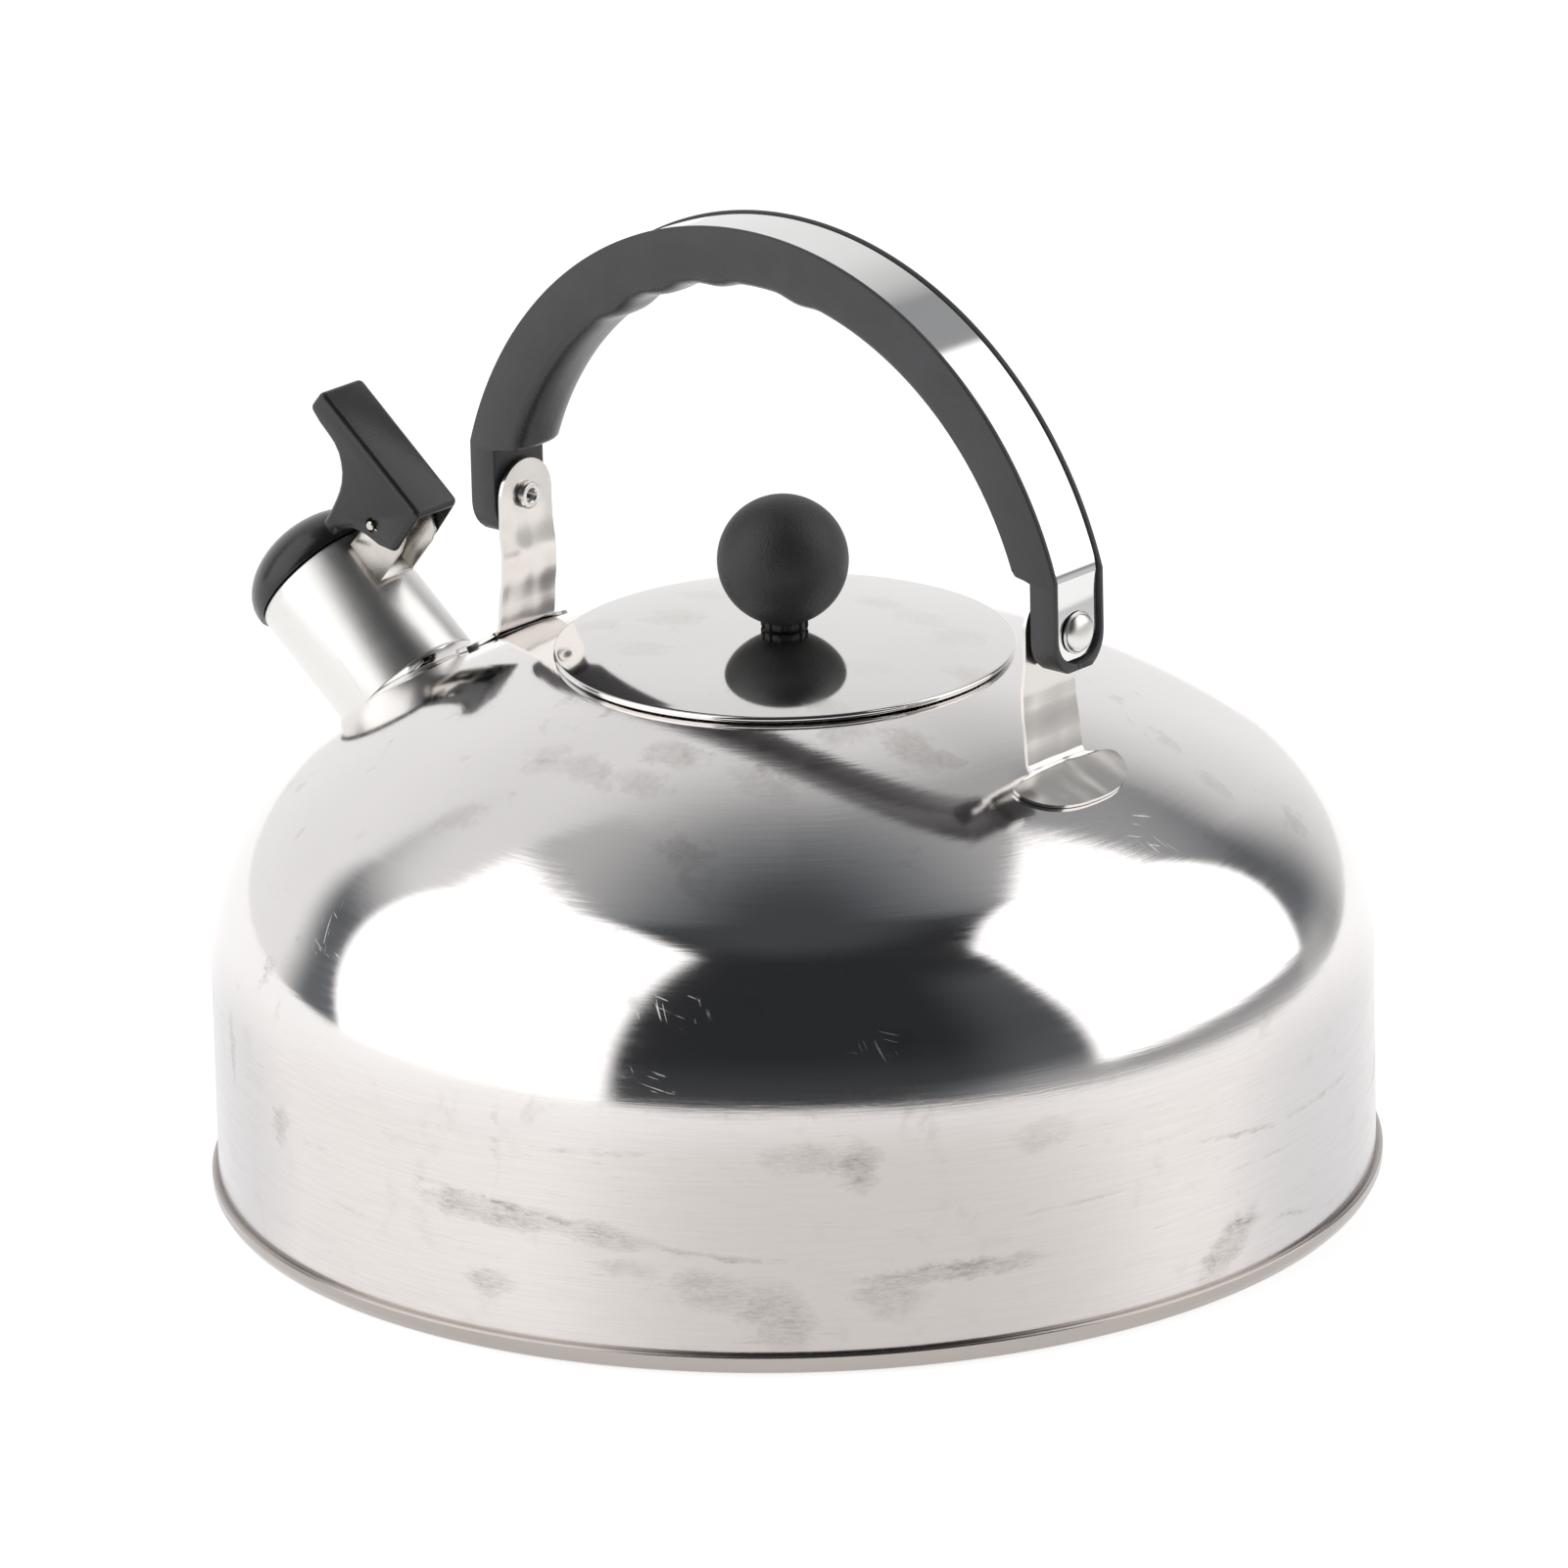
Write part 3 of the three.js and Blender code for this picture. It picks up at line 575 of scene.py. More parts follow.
def stripLines(s):
    # scratches along the strip, which lies round the arch's middle
    reach = (s.x * s.x + (s.z - 110.0) * (s.z - 110.0) + 0.01) ** 0.5
    return combine(s.tree, s.x / reach * 1.5, s.y * 2.2, (s.z - 110.0) / reach * 1.5)


def gripGloss(s, level):
    reach = (s.x * s.x + (s.z - 110.2) * (s.z - 110.2)) ** 0.5
    return level - (1 - reach.step(64.6, 68.5)) * 0.2


bodySteel = bodySurface()
lidSteel = steelSurface("lidSteel", 0.07, 0.85, 0.02, (1.0, 1.0, 1.0), colour=(0.80, 0.78, 0.765), grain=0.3,
                        marks=lidMarks)
baseSteel = steelSurface("baseSteel", 0.24, 0.9, 0.2, colour=(0.46, 0.42, 0.395), grain=0.9)
spoutSteel = steelSurface("spoutSteel", 0.32, 0.9, 0.2, lines=spoutLines, colour=(0.82, 0.80, 0.78),
                          grain=1.2)
stripSteel = steelSurface("stripSteel", 0.06, 0.25, 0.03, lines=stripLines, colour=(0.83, 0.825, 0.82),
                          grain=0.5)
bracketSteel = steelSurface("bracketSteel", 0.2, 0.7, 0.06, lines=lambda s: s.stretched(0.2, 0.2, 1.4),
                             colour=(0.72, 0.69, 0.66), grain=0.6, waves=0.42)
rivetSteel = steelSurface("rivetSteel", 0.3, 0.3, 0.06, lines=lambda s: s.stretched(1.0, 1.0, 1.0), grain=0.4)
fittingSteel = steelSurface("fittingSteel", 0.26, 0.4, 0.1, lines=lambda s: s.stretched(0.4, 0.4, 1.0),
                            colour=(0.66, 0.63, 0.59))
gripPlastic = plasticSurface("gripPlastic", (0.036, 0.034, 0.037), 0.44, 2.2, 0.35, gripGloss)
capPlastic = plasticSurface("capPlastic", (0.018, 0.018, 0.019), 0.26, 1.2, 0.18)
knobPlastic = plasticSurface("knobPlastic", (0.021, 0.021, 0.022), 0.5, 1.55, 0.8)

finishes = {
    "fitting_steel": fittingSteel,
    "body_steel": bodySteel,
    "base_steel": baseSteel,
    "bracket_steel": bracketSteel,
    "strip_steel": stripSteel,
    "rivet_steel": rivetSteel,
    "grip_plastic": gripPlastic,
    "cap_plastic": capPlastic,
    "knob_plastic": knobPlastic,
}
for part in frame["record"]["subparts"]:
    cadNode = frame["nodes"][part["node"]]
    cadNode.data.materials.clear()
    cadNode.data.materials.append(finishes[part["material_slot"]])


shell = {
    "wall": 43.5,
    "shoulder": 45.0,
    "dome": 160.0,
    "sheet": 0.6,
    "mouth": 40.3,
    "bend": 1.4,
    "lip": 5.5,
    "columns": 224,
}
shellLow, shellHigh = nodeBox("body_shell")
bodyRadius = shellHigh.x
footZ = shellLow.z
shoulderX = bodyRadius - shell["shoulder"]
domeReach = shell["dome"] - shell["shoulder"]
domeZ = shell["wall"] - math.sqrt(domeReach ** 2 - shoulderX ** 2)
tangent = math.acos(shoulderX / domeReach)


def shellDistance(p):
    r = math.hypot(p[0], p[1])
    z = p[2]
    if z < shell["wall"]:
        return r - bodyRadius
    if math.atan2(z - domeZ, r) < tangent:
        return math.hypot(r - shoulderX, z - shell["wall"]) - shell["shoulder"]
    return math.hypot(r, z - domeZ) - shell["dome"]


def tubeDistance(p):
    d = Vector(p) - spoutMouth
    along = d.dot(spoutOut)
    return (d - spoutOut * along).length - spout["radius"]


def blended(p):
    # the tube and the shell, joined by a round fillet
    k = spout["fillet"]
    a, b = shellDistance(p), tubeDistance(p)
    return max(k, min(a, b)) - math.hypot(max(k - a, 0), max(k - b, 0))


def slope(distance, p, e=0.02):
    found = Vector()
    for i in range(3):
        step = Vector((0, 0, 0))
        step[i] = e
        found[i] = distance(p + step) - distance(p - step)
    return found.normalized()


def shellZ(r, offset=0.0):
    if r <= (shell["dome"] + offset) * math.cos(tangent):
        return domeZ + math.sqrt((shell["dome"] + offset) ** 2 - r * r)
    return shell["wall"] + math.sqrt((shell["shoulder"] + offset) ** 2 - (r - shoulderX) ** 2)


def roundSpout(rho, phi, depth):
    side = Vector((0, rho * math.sin(phi), 0))
    return spoutMouth + spoutUp * (rho * math.cos(phi)) + side - spoutOut * depth


def onShell(rho, phi):
    low, high = 15.0, 60.0
    for _ in range(40):
        middle = (low + high) / 2
        if shellDistance(roundSpout(rho, phi, middle)) > 0:
            low = middle
        else:
            high = middle
    return roundSpout(rho, phi, low)


def collarReach(phi):
    # how far out of the tube's axis the fillet stands at the weld
    k, lift = spout["fillet"], 0.0
    for _ in range(12):
        p = roundSpout(spout["radius"] + lift, phi, spout["length"])
        low = min(max(k - shellDistance(p), 0.0), k)
        lift = (lift + k - math.sqrt(k * k - low * low)) / 2
    return spout["radius"] + lift


def unrolled(p):
    # round and up the shell, both in millimetres
    r = math.hypot(p[0], p[1])
    roundAt = math.atan2(p[1], -p[0]) * 100
    if p[2] < shell["wall"]:
        return roundAt, p[2]
    angle = math.atan2(p[2] - shell["wall"], r - shoulderX)
    if math.atan2(p[2] - domeZ, r) < tangent:
        return roundAt, shell["wall"] + shell["shoulder"] * angle
    angle = math.atan2(p[2] - domeZ, r)
    return roundAt, shell["wall"] + shell["shoulder"] * tangent + shell["dome"] * (angle - tangent)


def bodyProfile():
    mouth = shell["mouth"]
    bend = shell["bend"]
    topAngle = math.degrees(math.acos((mouth + bend) / shell["dome"]))
    degrees = math.degrees(tangent)
    points = [(bodyRadius, footZ + (shell["wall"] - footZ) * i / 12) for i in range(12)]
    points += arc(shoulderX, shell["wall"], shell["shoulder"], 0, degrees, 34)
    points += arc(0, domeZ, shell["dome"], degrees, topAngle, 22)[1:]
    top = points[-1][1]
    points += arc(mouth + bend, top - bend, bend, 90, 180, 6)[1:]
    lipZ = top - shell["lip"]
    points += [(mouth, top - bend + (lipZ - top + bend) * i / 3) for i in (1, 2, 3)]
    return points


def buildBody():
    profile = bodyProfile()
    count = shell["columns"]
    verts, normals = [], []
    for i, (r, z) in enumerate(profile):
        a, b = profile[max(i - 1, 0)], profile[min(i + 1, len(profile) - 1)]
        side = Vector((b[1] - a[1], a[0] - b[0])).normalized()
        for j in range(count):
            angle = 2 * math.pi * j / count
            c, s = math.cos(angle), math.sin(angle)
            verts.append(Vector((r * c, r * s, z)))
            normals.append(Vector((side[0] * c, side[0] * s, side[1])))
    reach = spout["cutRadius"]
    ring = [onShell(reach, 2 * math.pi * k / spout["columns"]) for k in range(spout["columns"])]
    flat = [unrolled(p) for p in ring]
    lows = (min(p[0] for p in flat) - 5, min(p[1] for p in flat) - 4)
    highs = (max(p[0] for p in flat) + 5, max(p[1] for p in flat) + 4)

    def inWindow(i, j):
        u, v = unrolled(verts[i * count + j % count])
        return lows[0] <= u <= highs[0] and lows[1] <= v <= highs[1]

    rows = [i for i in range(len(profile)) if inWindow(i, count // 2)]
    columns = [j for j in range(count) if inWindow(rows[0], j)]
    r0, r1, c0, c1 = rows[0], rows[-1], columns[0], columns[-1]
    faces = []
    for i in range(len(profile) - 1):
        for j in range(count):
            if r0 <= i < r1 and c0 <= j < c1:
                continue
            k = (j + 1) % count
            faces.append([i * count + j, i * count + k, (i + 1) * count + k, (i + 1) * count + j])
    # the window round the spout is filled with triangles between the grid and the ring
    inside = []
    for i in range(r0, r1 + 1):
        for j in range(c0, c1 + 1):
            v = i * count + j
            edge = i in (r0, r1) or j in (c0, c1)
            if edge or tubeDistance(verts[v]) + spout["radius"] > reach + 1.1:
                inside.append(v)
    border = [r0 * count + j for j in range(c0, c1)] + [i * count + c1 for i in range(r0, r1)]
    border += [r1 * count + j for j in range(c1, c0, -1)] + [i * count + c0 for i in range(r1, r0, -1)]
    start = len(verts)
    verts += ring
    normals += [slope(shellDistance, p) for p in ring]
    ids = inside + list(range(start, start + len(ring)))
    back = {v: n for n, v in enumerate(ids)}
    points = [Vector(unrolled(verts[v])) for v in ids]
    edges = [(back[border[n]], back[border[(n + 1) % len(border)]]) for n in range(len(border))]
    edges += [(back[start + n], back[start + (n + 1) % len(ring)]) for n in range(len(ring))]
    made = delaunay_2d_cdt(points, edges, [], 1, 1e-5)
    for face in made[2]:
        where = [ids[made[3][n][0]] for n in face]
        centre = sum((verts[v] for v in where), Vector()) / 3
        ringOnly = all(v >= start for v in where)
        if ringOnly or tubeDistance(centre) + spout["radius"] < reach * 0.985:
            continue
        a, b, c = [verts[v] for v in where]
        if (b - a).cross(c - a).dot(slope(shellDistance, centre)) < 0:
            where.reverse()
        faces.append(where)
    # the drawn collar, from the ring up to the weld
    steps = 18
    last = [start + n for n in range(len(ring))]
    reaches = [collarReach(2 * math.pi * k / len(ring)) for k in range(len(ring))]
    for i in range(1, steps + 1):
        t = i / steps
        row = []
        for k in range(len(ring)):
            phi = 2 * math.pi * k / len(ring)
            corner = onShell(reaches[k], phi)
            top = roundSpout(reaches[k], phi, spout["length"])
            p = ring[k] * (1 - t) ** 2 + corner * 2 * t * (1 - t) + top * t * t
            if i < steps:
                for _ in range(4):
                    p = p - slope(blended, p) * blended(p)
            row.append(len(verts))
            verts.append(p)
            normals.append(slope(blended, p))
        for k in range(len(ring)):
            n = (k + 1) % len(ring)
            faces.append([last[k], last[n], row[n], row[k]])
        last = row
    used = sorted({v for face in faces for v in face})
    remap = {v: n for n, v in enumerate(used)}
    verts = [verts[v] for v in used]
    normals = [normals[v] for v in used]
    faces = [[remap[v] for v in face] for face in faces]
    return thickened(verts, faces, normals, shell["sheet"])


def thickened(verts, faces, normals, sheet):
    # an inner wall and rims for an open sheet whose normals point out
    count = len(verts)
    whole = verts + [v - n * sheet for v, n in zip(verts, normals)]
    allNormals = normals + [-n for n in normals]
    seen = {}
    fixed = []
    for face in faces:
        a, b, c = [verts[v] for v in face[:3]]
        mean = sum((normals[v] for v in face), Vector())
        if (b - a).cross(c - a).dot(mean) < 0:
            face = face[::-1]
        fixed.append(face)
        for i in range(len(face)):
            seen[(face[i], face[(i + 1) % len(face)])] = True
    out = fixed + [[v + count for v in face[::-1]] for face in fixed]
    rims = [(a, b) for a, b in seen if (b, a) not in seen]
    for a, b in rims:
        out.append([b, a, a + count, b + count])
    return whole, out, allNormals


verts, faces, normals = buildBody()
body = makeObject("kettleBody", verts, faces, bodySteel, normals)
place(body, "kettle", "body_steel", "body_shell")
print("body", len(body.data.polygons))


base = {
    "floor": 0.8,
    "columns": 224,
}


def buildBase():
    _, high = nodeBox("base_pan")
    outer, top = high.x, high.z
    inner = outer - 1.0
    touch = bodyRadius + 0.03
    profile = [(0, 0.25), (outer - 12, 0.25), (outer - 10.5, 0.0), (outer - 2.2, 0.0)]
    profile += arc(outer - 2.0, 1.45, 1.45, -80, -20, 4)
    profile += [(outer - 0.28, 1.55), (outer - 0.08, 1.9)]
    profile += arc(outer - 0.55, top - 0.62, 0.55, -10, 110, 7)
    profile += [(touch, top - 0.3), (touch, top - 1.2), (inner, top - 1.6)]
    profile += [(inner, base["floor"]), (0, base["floor"])]
    return turned(profile, base["columns"])


basePan = makeObject("basePan", *buildBase(), baseSteel, sharp=60)
place(basePan, "kettle", "base_steel", "base_pan")
print("base")


def nodeTree(name, *inputs):
    tree = bpy.data.node_groups.new(name, "GeometryNodeTree")
    for label in inputs:
        kind = "NodeSocketInt" if label == "Count" else "NodeSocketFloat"
        tree.interface.new_socket(label, in_out="INPUT", socket_type=kind)
    tree.interface.new_socket("Geometry", in_out="OUTPUT", socket_type="NodeSocketGeometry")
    start = tree.nodes.new("NodeGroupInput")
    end = tree.nodes.new("NodeGroupOutput")
    return tree, start.outputs, end


def add(tree, kind, settings=None, sockets=None):
    made = tree.nodes.new(kind)
    for key, value in (settings or {}).items():
        setattr(made, key, value)
    for key, value in (sockets or {}).items():
        if isinstance(value, bpy.types.NodeSocket):
            tree.links.new(value, made.inputs[key])
        else:
            made.inputs[key].default_value = value
    return made


def finishTree(tree, end, geometry, material):
    real = add(tree, "GeometryNodeRealizeInstances", {}, {0: geometry})
    painted = add(tree, "GeometryNodeSetMaterial", {}, {0: real.outputs[0], "Material": material})
    tree.links.new(painted.outputs[0], end.inputs[0])


def grown(name, tree, values, shift):
    mesh = bpy.data.meshes.new(name)
    made = bpy.data.objects.new(name, mesh)
    scene.collection.objects.link(made)
    change = made.modifiers.new("grow", "NODES")
    change.node_group = tree
    for item in tree.interface.items_tree:
        if item.in_out == "INPUT" and item.name in values:
            change[item.identifier] = values[item.name]
    settled(made)
    made.data.transform(shift)
    outward(made.data)
    made.data.shade_smooth()
    return made


def circle(tree, resolution, radius):
    return add(tree, "GeometryNodeCurvePrimitiveCircle", {}, {"Resolution": resolution, "Radius": radius})


def sweep(tree, path, section, caps=False):
    sockets = {0: path.outputs[0], 1: section.outputs[0], "Fill Caps": caps}
    return add(tree, "GeometryNodeCurveToMesh", {}, sockets).outputs[0]


def ringTree(material):
    # a round wire bent into a ring
    tree, sizes, end = nodeTree("wireRing", "Radius", "Wire")
    wire = circle(tree, 10, sizes["Wire"])
    finishTree(tree, end, sweep(tree, circle(tree, 160, sizes["Radius"]), wire), material)
    return tree


def scaled(matrix):
    # a placing matrix in millimetres, made to act on a mesh in metres
    moved = matrix.copy()
    moved.translation = matrix.translation * mm
    return moved


weldRing = grown(
    "spoutWeld",
    ringTree(fittingSteel),
    {"Radius": (spout["radius"] - 0.02) * mm, "Wire": 0.13 * mm},
    scaled(alongSpout @ Matrix.Translation((0, 0, -spout["length"] + 0.15))),
)
place(weldRing, "kettle", "body_steel")

spring = {"radius": 2.1, "wire": 0.33, "turns": 4.2, "width": 5.2}


def coilTree(material):
    tree, sizes, end = nodeTree("coil", "Radius", "Wire", "Turns", "Width")
    path = add(tree, "GeometryNodeCurveSpiral", {}, {
        "Resolution": 28,
        "Rotations": sizes["Turns"],
        "Start Radius": sizes["Radius"],
        "End Radius": sizes["Radius"],
        "Height": sizes["Width"],
    })
    finishTree(tree, end, sweep(tree, path, circle(tree, 10, sizes["Wire"]), True), material)
    return tree


atPin = frameOf(spoutOut, spoutUp, Vector((0, 1, 0)), pinPlace)
coil = grown(
    "springCoil",
    coilTree(fittingSteel),
    {
        "Radius": spring["radius"] * mm,
        "Wire": spring["wire"] * mm,
        "Turns": spring["turns"],
        "Width": spring["width"] * mm,
    },
    scaled(atPin @ Matrix.Translation((0, 0, -spring["width"] / 2))),
)
place(coil, "kettle", "fitting_steel")


def rodBetween(a, b, radius, count=12):
    way = (b - a).normalized()
    side = way.orthogonal().normalized()
    profile = [(0, 0), (radius, 0), (radius, (b - a).length), (0, (b - a).length)]
    return turned(profile, count, frameOf(side, way.cross(side), way, a))


def buildLegs():
    legs = []
    for angle, y, length, way in ((math.radians(0), -2.6, 7.4, 236.6), (math.radians(72), 2.6, 8.2, 126.9)):
        start = Vector((spring["radius"] * math.cos(angle), spring["radius"] * math.sin(angle), y))
        turn = math.radians(way)
        tip = start + Vector((math.cos(turn), math.sin(turn), 0)) * length
        legs.append(rodBetween(atPin @ start, atPin @ tip, spring["wire"]))
    return joined(*legs)


legs = makeObject("springLegs", *buildLegs(), fittingSteel)
place(legs, "kettle", "fitting_steel", "whistle_spring")
print("rings and coil")


def tubeTree(material):
    # a straight tube: the section of its wall, with eased edges, swept round a circle
    tree, sizes, end = nodeTree("tube", "Radius", "Wall", "Length", "Edge")
    wall = add(tree, "GeometryNodeCurvePrimitiveQuadrilateral", {"mode": "RECTANGLE"}, {
        "Width": sizes["Wall"],
        "Height": sizes["Length"],
    })
    eased = add(tree, "GeometryNodeFilletCurve", {"mode": "POLY"}, {
        0: wall.outputs[0],
        "Count": 4,
        "Radius": sizes["Edge"],
    })
    finishTree(tree, end, sweep(tree, circle(tree, 128, sizes["Radius"]), eased), material)
    return tree


tubeLength = spout["length"] - 0.3
spoutTube = grown(
    "spoutTube",
    tubeTree(spoutSteel),
    {
        "Radius": (spout["radius"] - spout["wall"] / 2) * mm,
        "Wall": spout["wall"] * mm,
        "Length": tubeLength * mm,
        "Edge": 0.27 * mm,
    },
    scaled(alongSpout @ Matrix.Translation((0, 0, -tubeLength / 2))),
)
spoutTube.data.set_sharp_from_angle(angle=math.radians(20))
place(spoutTube, "kettle", "body_steel", "spout_tube")

cap = {"radius": 15.2, "height": 10.9, "lip": 1.2, "sleeve": 12.9, "chamber": 4.4, "outlet": 1.8}
lever = {"half": 6.0, "wall": 1.0, "ceiling": 9.7}


def buildCap():
    r, h, lip = cap["radius"], cap["height"], cap["lip"]
    dome = arc(0, lip, r, 0, 82, 30, ry=h - lip)
    profile = [(cap["sleeve"], 0.3), (r - 0.35, 0.3), (r - 0.1, 0.4), (r, 0.65)] + dome
    hole, deep = cap["outlet"], cap["chamber"]
    profile += [(hole + 0.3, h - 0.05), (hole, h - 0.35), (hole, deep + 3.8)]
    profile += [(5.5, deep + 3.4), (7, deep), (cap["sleeve"], deep)]
    return turned(profile, 112, alongSpout)


capDome = makeObject("capDome", *buildCap(), capPlastic)
place(capDome, "whistle", "cap_plastic", "whistle_cap")


def fromPin(points):
    return [(spout["pinU"] + u, spout["pinV"] + v) for u, v in points]


def buildLever():
    back = fromPin([(-7.2, -0.2), (-6.7, 11.2), (25.3, 11.2), (25.4, 6.1)])
    curve = fromPin([(21.7, 5.4), (19.0, 5.25), (16.7, 5.0), (14.8, 4.3), (13.3, 3.2), (12.0, 1.9),
                     (10.9, 0.2), (10.2, -1.6), (9.7, -3.8), (9.3, -6.4), (9.1, -8.6), (9.1, -10.6)])
    foot = [(0.5, 12.4), (0.5, 15.6)] + fromPin([(3, -5), (0, -3.4), (-3.5, -2.4)])
    half = lever["half"]
    verts, faces = prism(back + curve + foot, -half, half, spoutSide)
    made = softEdges(makeObject("thumbLever", verts, faces, capPlastic), 1.3, 5)
    inside = half - lever["wall"]
    u, v = spout["pinU"], spout["pinV"]
    top = v + lever["ceiling"]
    channel = [(u - 9, 9), (u - 9, top), (u + 7.1, top), (u + 7.1, v - 2.7), (-0.3, v - 5.7), (-0.3, 9)]
    eye = turned([(0, -9), (1.5, -9), (1.5, 9), (0, 9)], 32, atPin)
    cutBy(made, prism(channel, -inside, inside, spoutSide), eye)
    return softEdges(made, 0.12, 2, 60.0)


thumb = buildLever()
place(thumb, "whistle", "cap_plastic")


def buildPin():
    half = 6.7
    profile = [(0, -half), (0.7, -half), (0.9, -half + 0.2), (0.9, half - 0.2), (0.7, half), (0, half)]
    return turned(profile, 32, atPin)


pin = makeObject("hingePin", *buildPin(), fittingSteel)
place(pin, "kettle", "fitting_steel", "whistle_pin")


def buildEars():
    # the U-shaped spout bracket
    ears = fromPin([(2.0, -8.9), (2.0, 0.8), (1.1, 3.4), (-1.5, 4.7), (-4.1, 4.7), (-6.8, 3.2), (-7.6, 0.3),
                    (-7.6, -8.9)])
    outline = rounded(ears, 1.6, 5, [0, 1.5, 1.5, 1.5, 1.5, 1.5, 1.5, 0])
    made = makeObject("spoutBracket", *prism(outline, -4.7, 4.7, spoutSide), fittingSteel)
    trough = prism([(-20, 15.55), (6, 15.55), (6, 34), (-20, 34)], -4.0, 4.0, spoutSide)
    eye = turned([(0, -9), (1.2, -9), (1.2, 9), (0, 9)], 28, atPin)
    cutBy(made, trough, eye)
    return softEdges(made, 0.14, 2)


ears = buildEars()
place(ears, "kettle", "fitting_steel", "whistle_bracket")
print("spout and whistle")


gripLow, gripHigh = nodeBox("handle_grip")
handle = {
    "radius": 76.197,
    "start": 16.6,
    "rise": 10.8,
    "half": 7.0,
    "depth": 11.8,
    "endDepth": 6.3,
    "step": 11.2,
    "ridges": [124, 112, 99, 81],
    "ridge": 0.8,
    "strip": 5.75,
    "sheet": 0.8,
    "sink": 0.4,
    "endSink": 0.9,
    "steps": 150,
}
endX = gripHigh.x
archZ = pivotZ - handle["rise"]
seatX = endX - handle["endDepth"]
earX = seatX - 0.3


def smooth(t):
    t = min(max(t, 0.0), 1.0)
    return t * t * (3 - 2 * t)


def handleStations(lowest):
    # from the right end up, over the arch and down: place, outward angle, share of the arch's section
    right = []
    stepZ = pivotZ + handle["step"]
    heights = [lowest + (pivotZ - lowest) * math.sin(math.pi / 2 * i / 12) for i in range(1, 13)]
    heights += [pivotZ + (stepZ - 1.6 - pivotZ) * i / 6 for i in range(1, 7)]
    heights += [stepZ - 1.2, stepZ - 0.8, stepZ - 0.4, stepZ]
    for z in heights:
        right.append((endX, z, 0.0, smooth((z - stepZ + 1.2) / 1.0)))
    start = handle["start"]
    arch = []
    for i in range(handle["steps"] + 1):
        angle = start + (180 - 2 * start) * i / handle["steps"]
        lean = start * smooth((i + 1) / 5) / start if i < 5 else 1.0
        back = smooth((handle["steps"] - i + 1) / 5) if i > handle["steps"] - 5 else 1.0
        turn = angle * lean if i < 5 else 180 - (180 - angle) * back
        x = handle["radius"] * math.cos(math.radians(angle))
        z = archZ + handle["radius"] * math.sin(math.radians(angle))
        arch.append((x, z, turn, 1.0))
    left = [(-x, z, 180 - angle, share) for x, z, angle, share in reversed(right)]
    return [s for s in right if s[1] < arch[0][1] - 0.2] + arch + [s for s in left if s[1] < arch[0][1] - 0.2]


def ridgeAt(angle):
    lift = 0.0
    for at in handle["ridges"]:
        lift = max(lift, smooth(1 - abs(angle - at) / 5.2))
    return handle["ridge"] * lift


def across(station, section):
    x, z, angle, _ = station
    c, s = math.cos(math.radians(angle)), math.sin(math.radians(angle))
    return [Vector((x + n * c, y, z + n * s)) for y, n in section]


def sinkAt(station):
    low = smooth((pivotZ + 15 - station[1]) / 9.0)
    return handle["sink"] + (handle["endSink"] - handle["sink"]) * low


def roundEnd(z, middle, radius, least=0.05):
    if z >= middle:
        return radius
    return max(math.sqrt(max(radius ** 2 - (middle - z) ** 2, 0.0)), least)


def gripSection(station, lowest):
    _, z, angle, share = station
    w = roundEnd(z, lowest + handle["half"], handle["half"], 0.4)
    sink = sinkAt(station) + handle["sheet"] + 0.3
    slot = roundEnd(z, pivotZ, handle["strip"] + 0.2, 0.0)
    if slot < 0.6:
        slot, sink = min(0.5, w * 0.4), 0.0
    depth = handle["endDepth"] + (handle["depth"] + ridgeAt(angle) - handle["endDepth"]) * share
    e = min(0.5, (w - slot) * 0.4)
    edge = [(w, -e), (w - e * 0.3, -e * 0.3), (w - e, 0), (slot + e * 0.7, 0), (slot + e * 0.15, -e * 0.2)]
    edge += [(slot, -min(e, sink + 0.001)), (slot, -sink)]
    section = edge + [(-y, n) for y, n in reversed(edge)]
    side = 0.9 + share * 2.7
    power = 0.22 + 0.53 * share
    for k in range(1, 20):
        a = math.pi * k / 20
        c = math.cos(a)
        y = 0.0 if abs(c) < 1e-9 else -w * math.copysign(abs(c) ** power, c)
        section.append((y, side - depth - side * math.sin(a) ** power))
    return section


def buildGrip():
    lowest = gripLow.z
    rings = [across(station, gripSection(station, lowest)) for station in handleStations(lowest)]
    return lofted(rings)


grip = makeObject("handleGrip", *buildGrip(), gripPlastic, sharp=48)
place(grip, "handle", "grip_plastic", "handle_grip")


def buildStrip():
    rings = []
    lowest = pivotZ - handle["strip"]
    for station in handleStations(lowest):
        w = roundEnd(station[1], pivotZ, handle["strip"], 0.1)
        sink = sinkAt(station)
        e = min(0.12, w * 0.4)
        top, bottom = -sink, -sink - handle["sheet"]
        section = [(w, top - e), (w - e, top), (e - w, top), (-w, top - e)]
        section += [(-w, bottom + e), (e - w, bottom), (w - e, bottom), (w, bottom + e)]
        rings.append(across(station, section))
    return lofted(rings)


strip = makeObject("handleStrip", *buildStrip(), stripSteel, sharp=30)
place(strip, "handle", "strip_steel", "handle_strip")

strap = {"lift": 0.12, "thick": 1.2, "ear": 7.1, "pad": 14.5, "depth": 10.4, "padThick": 0.7}


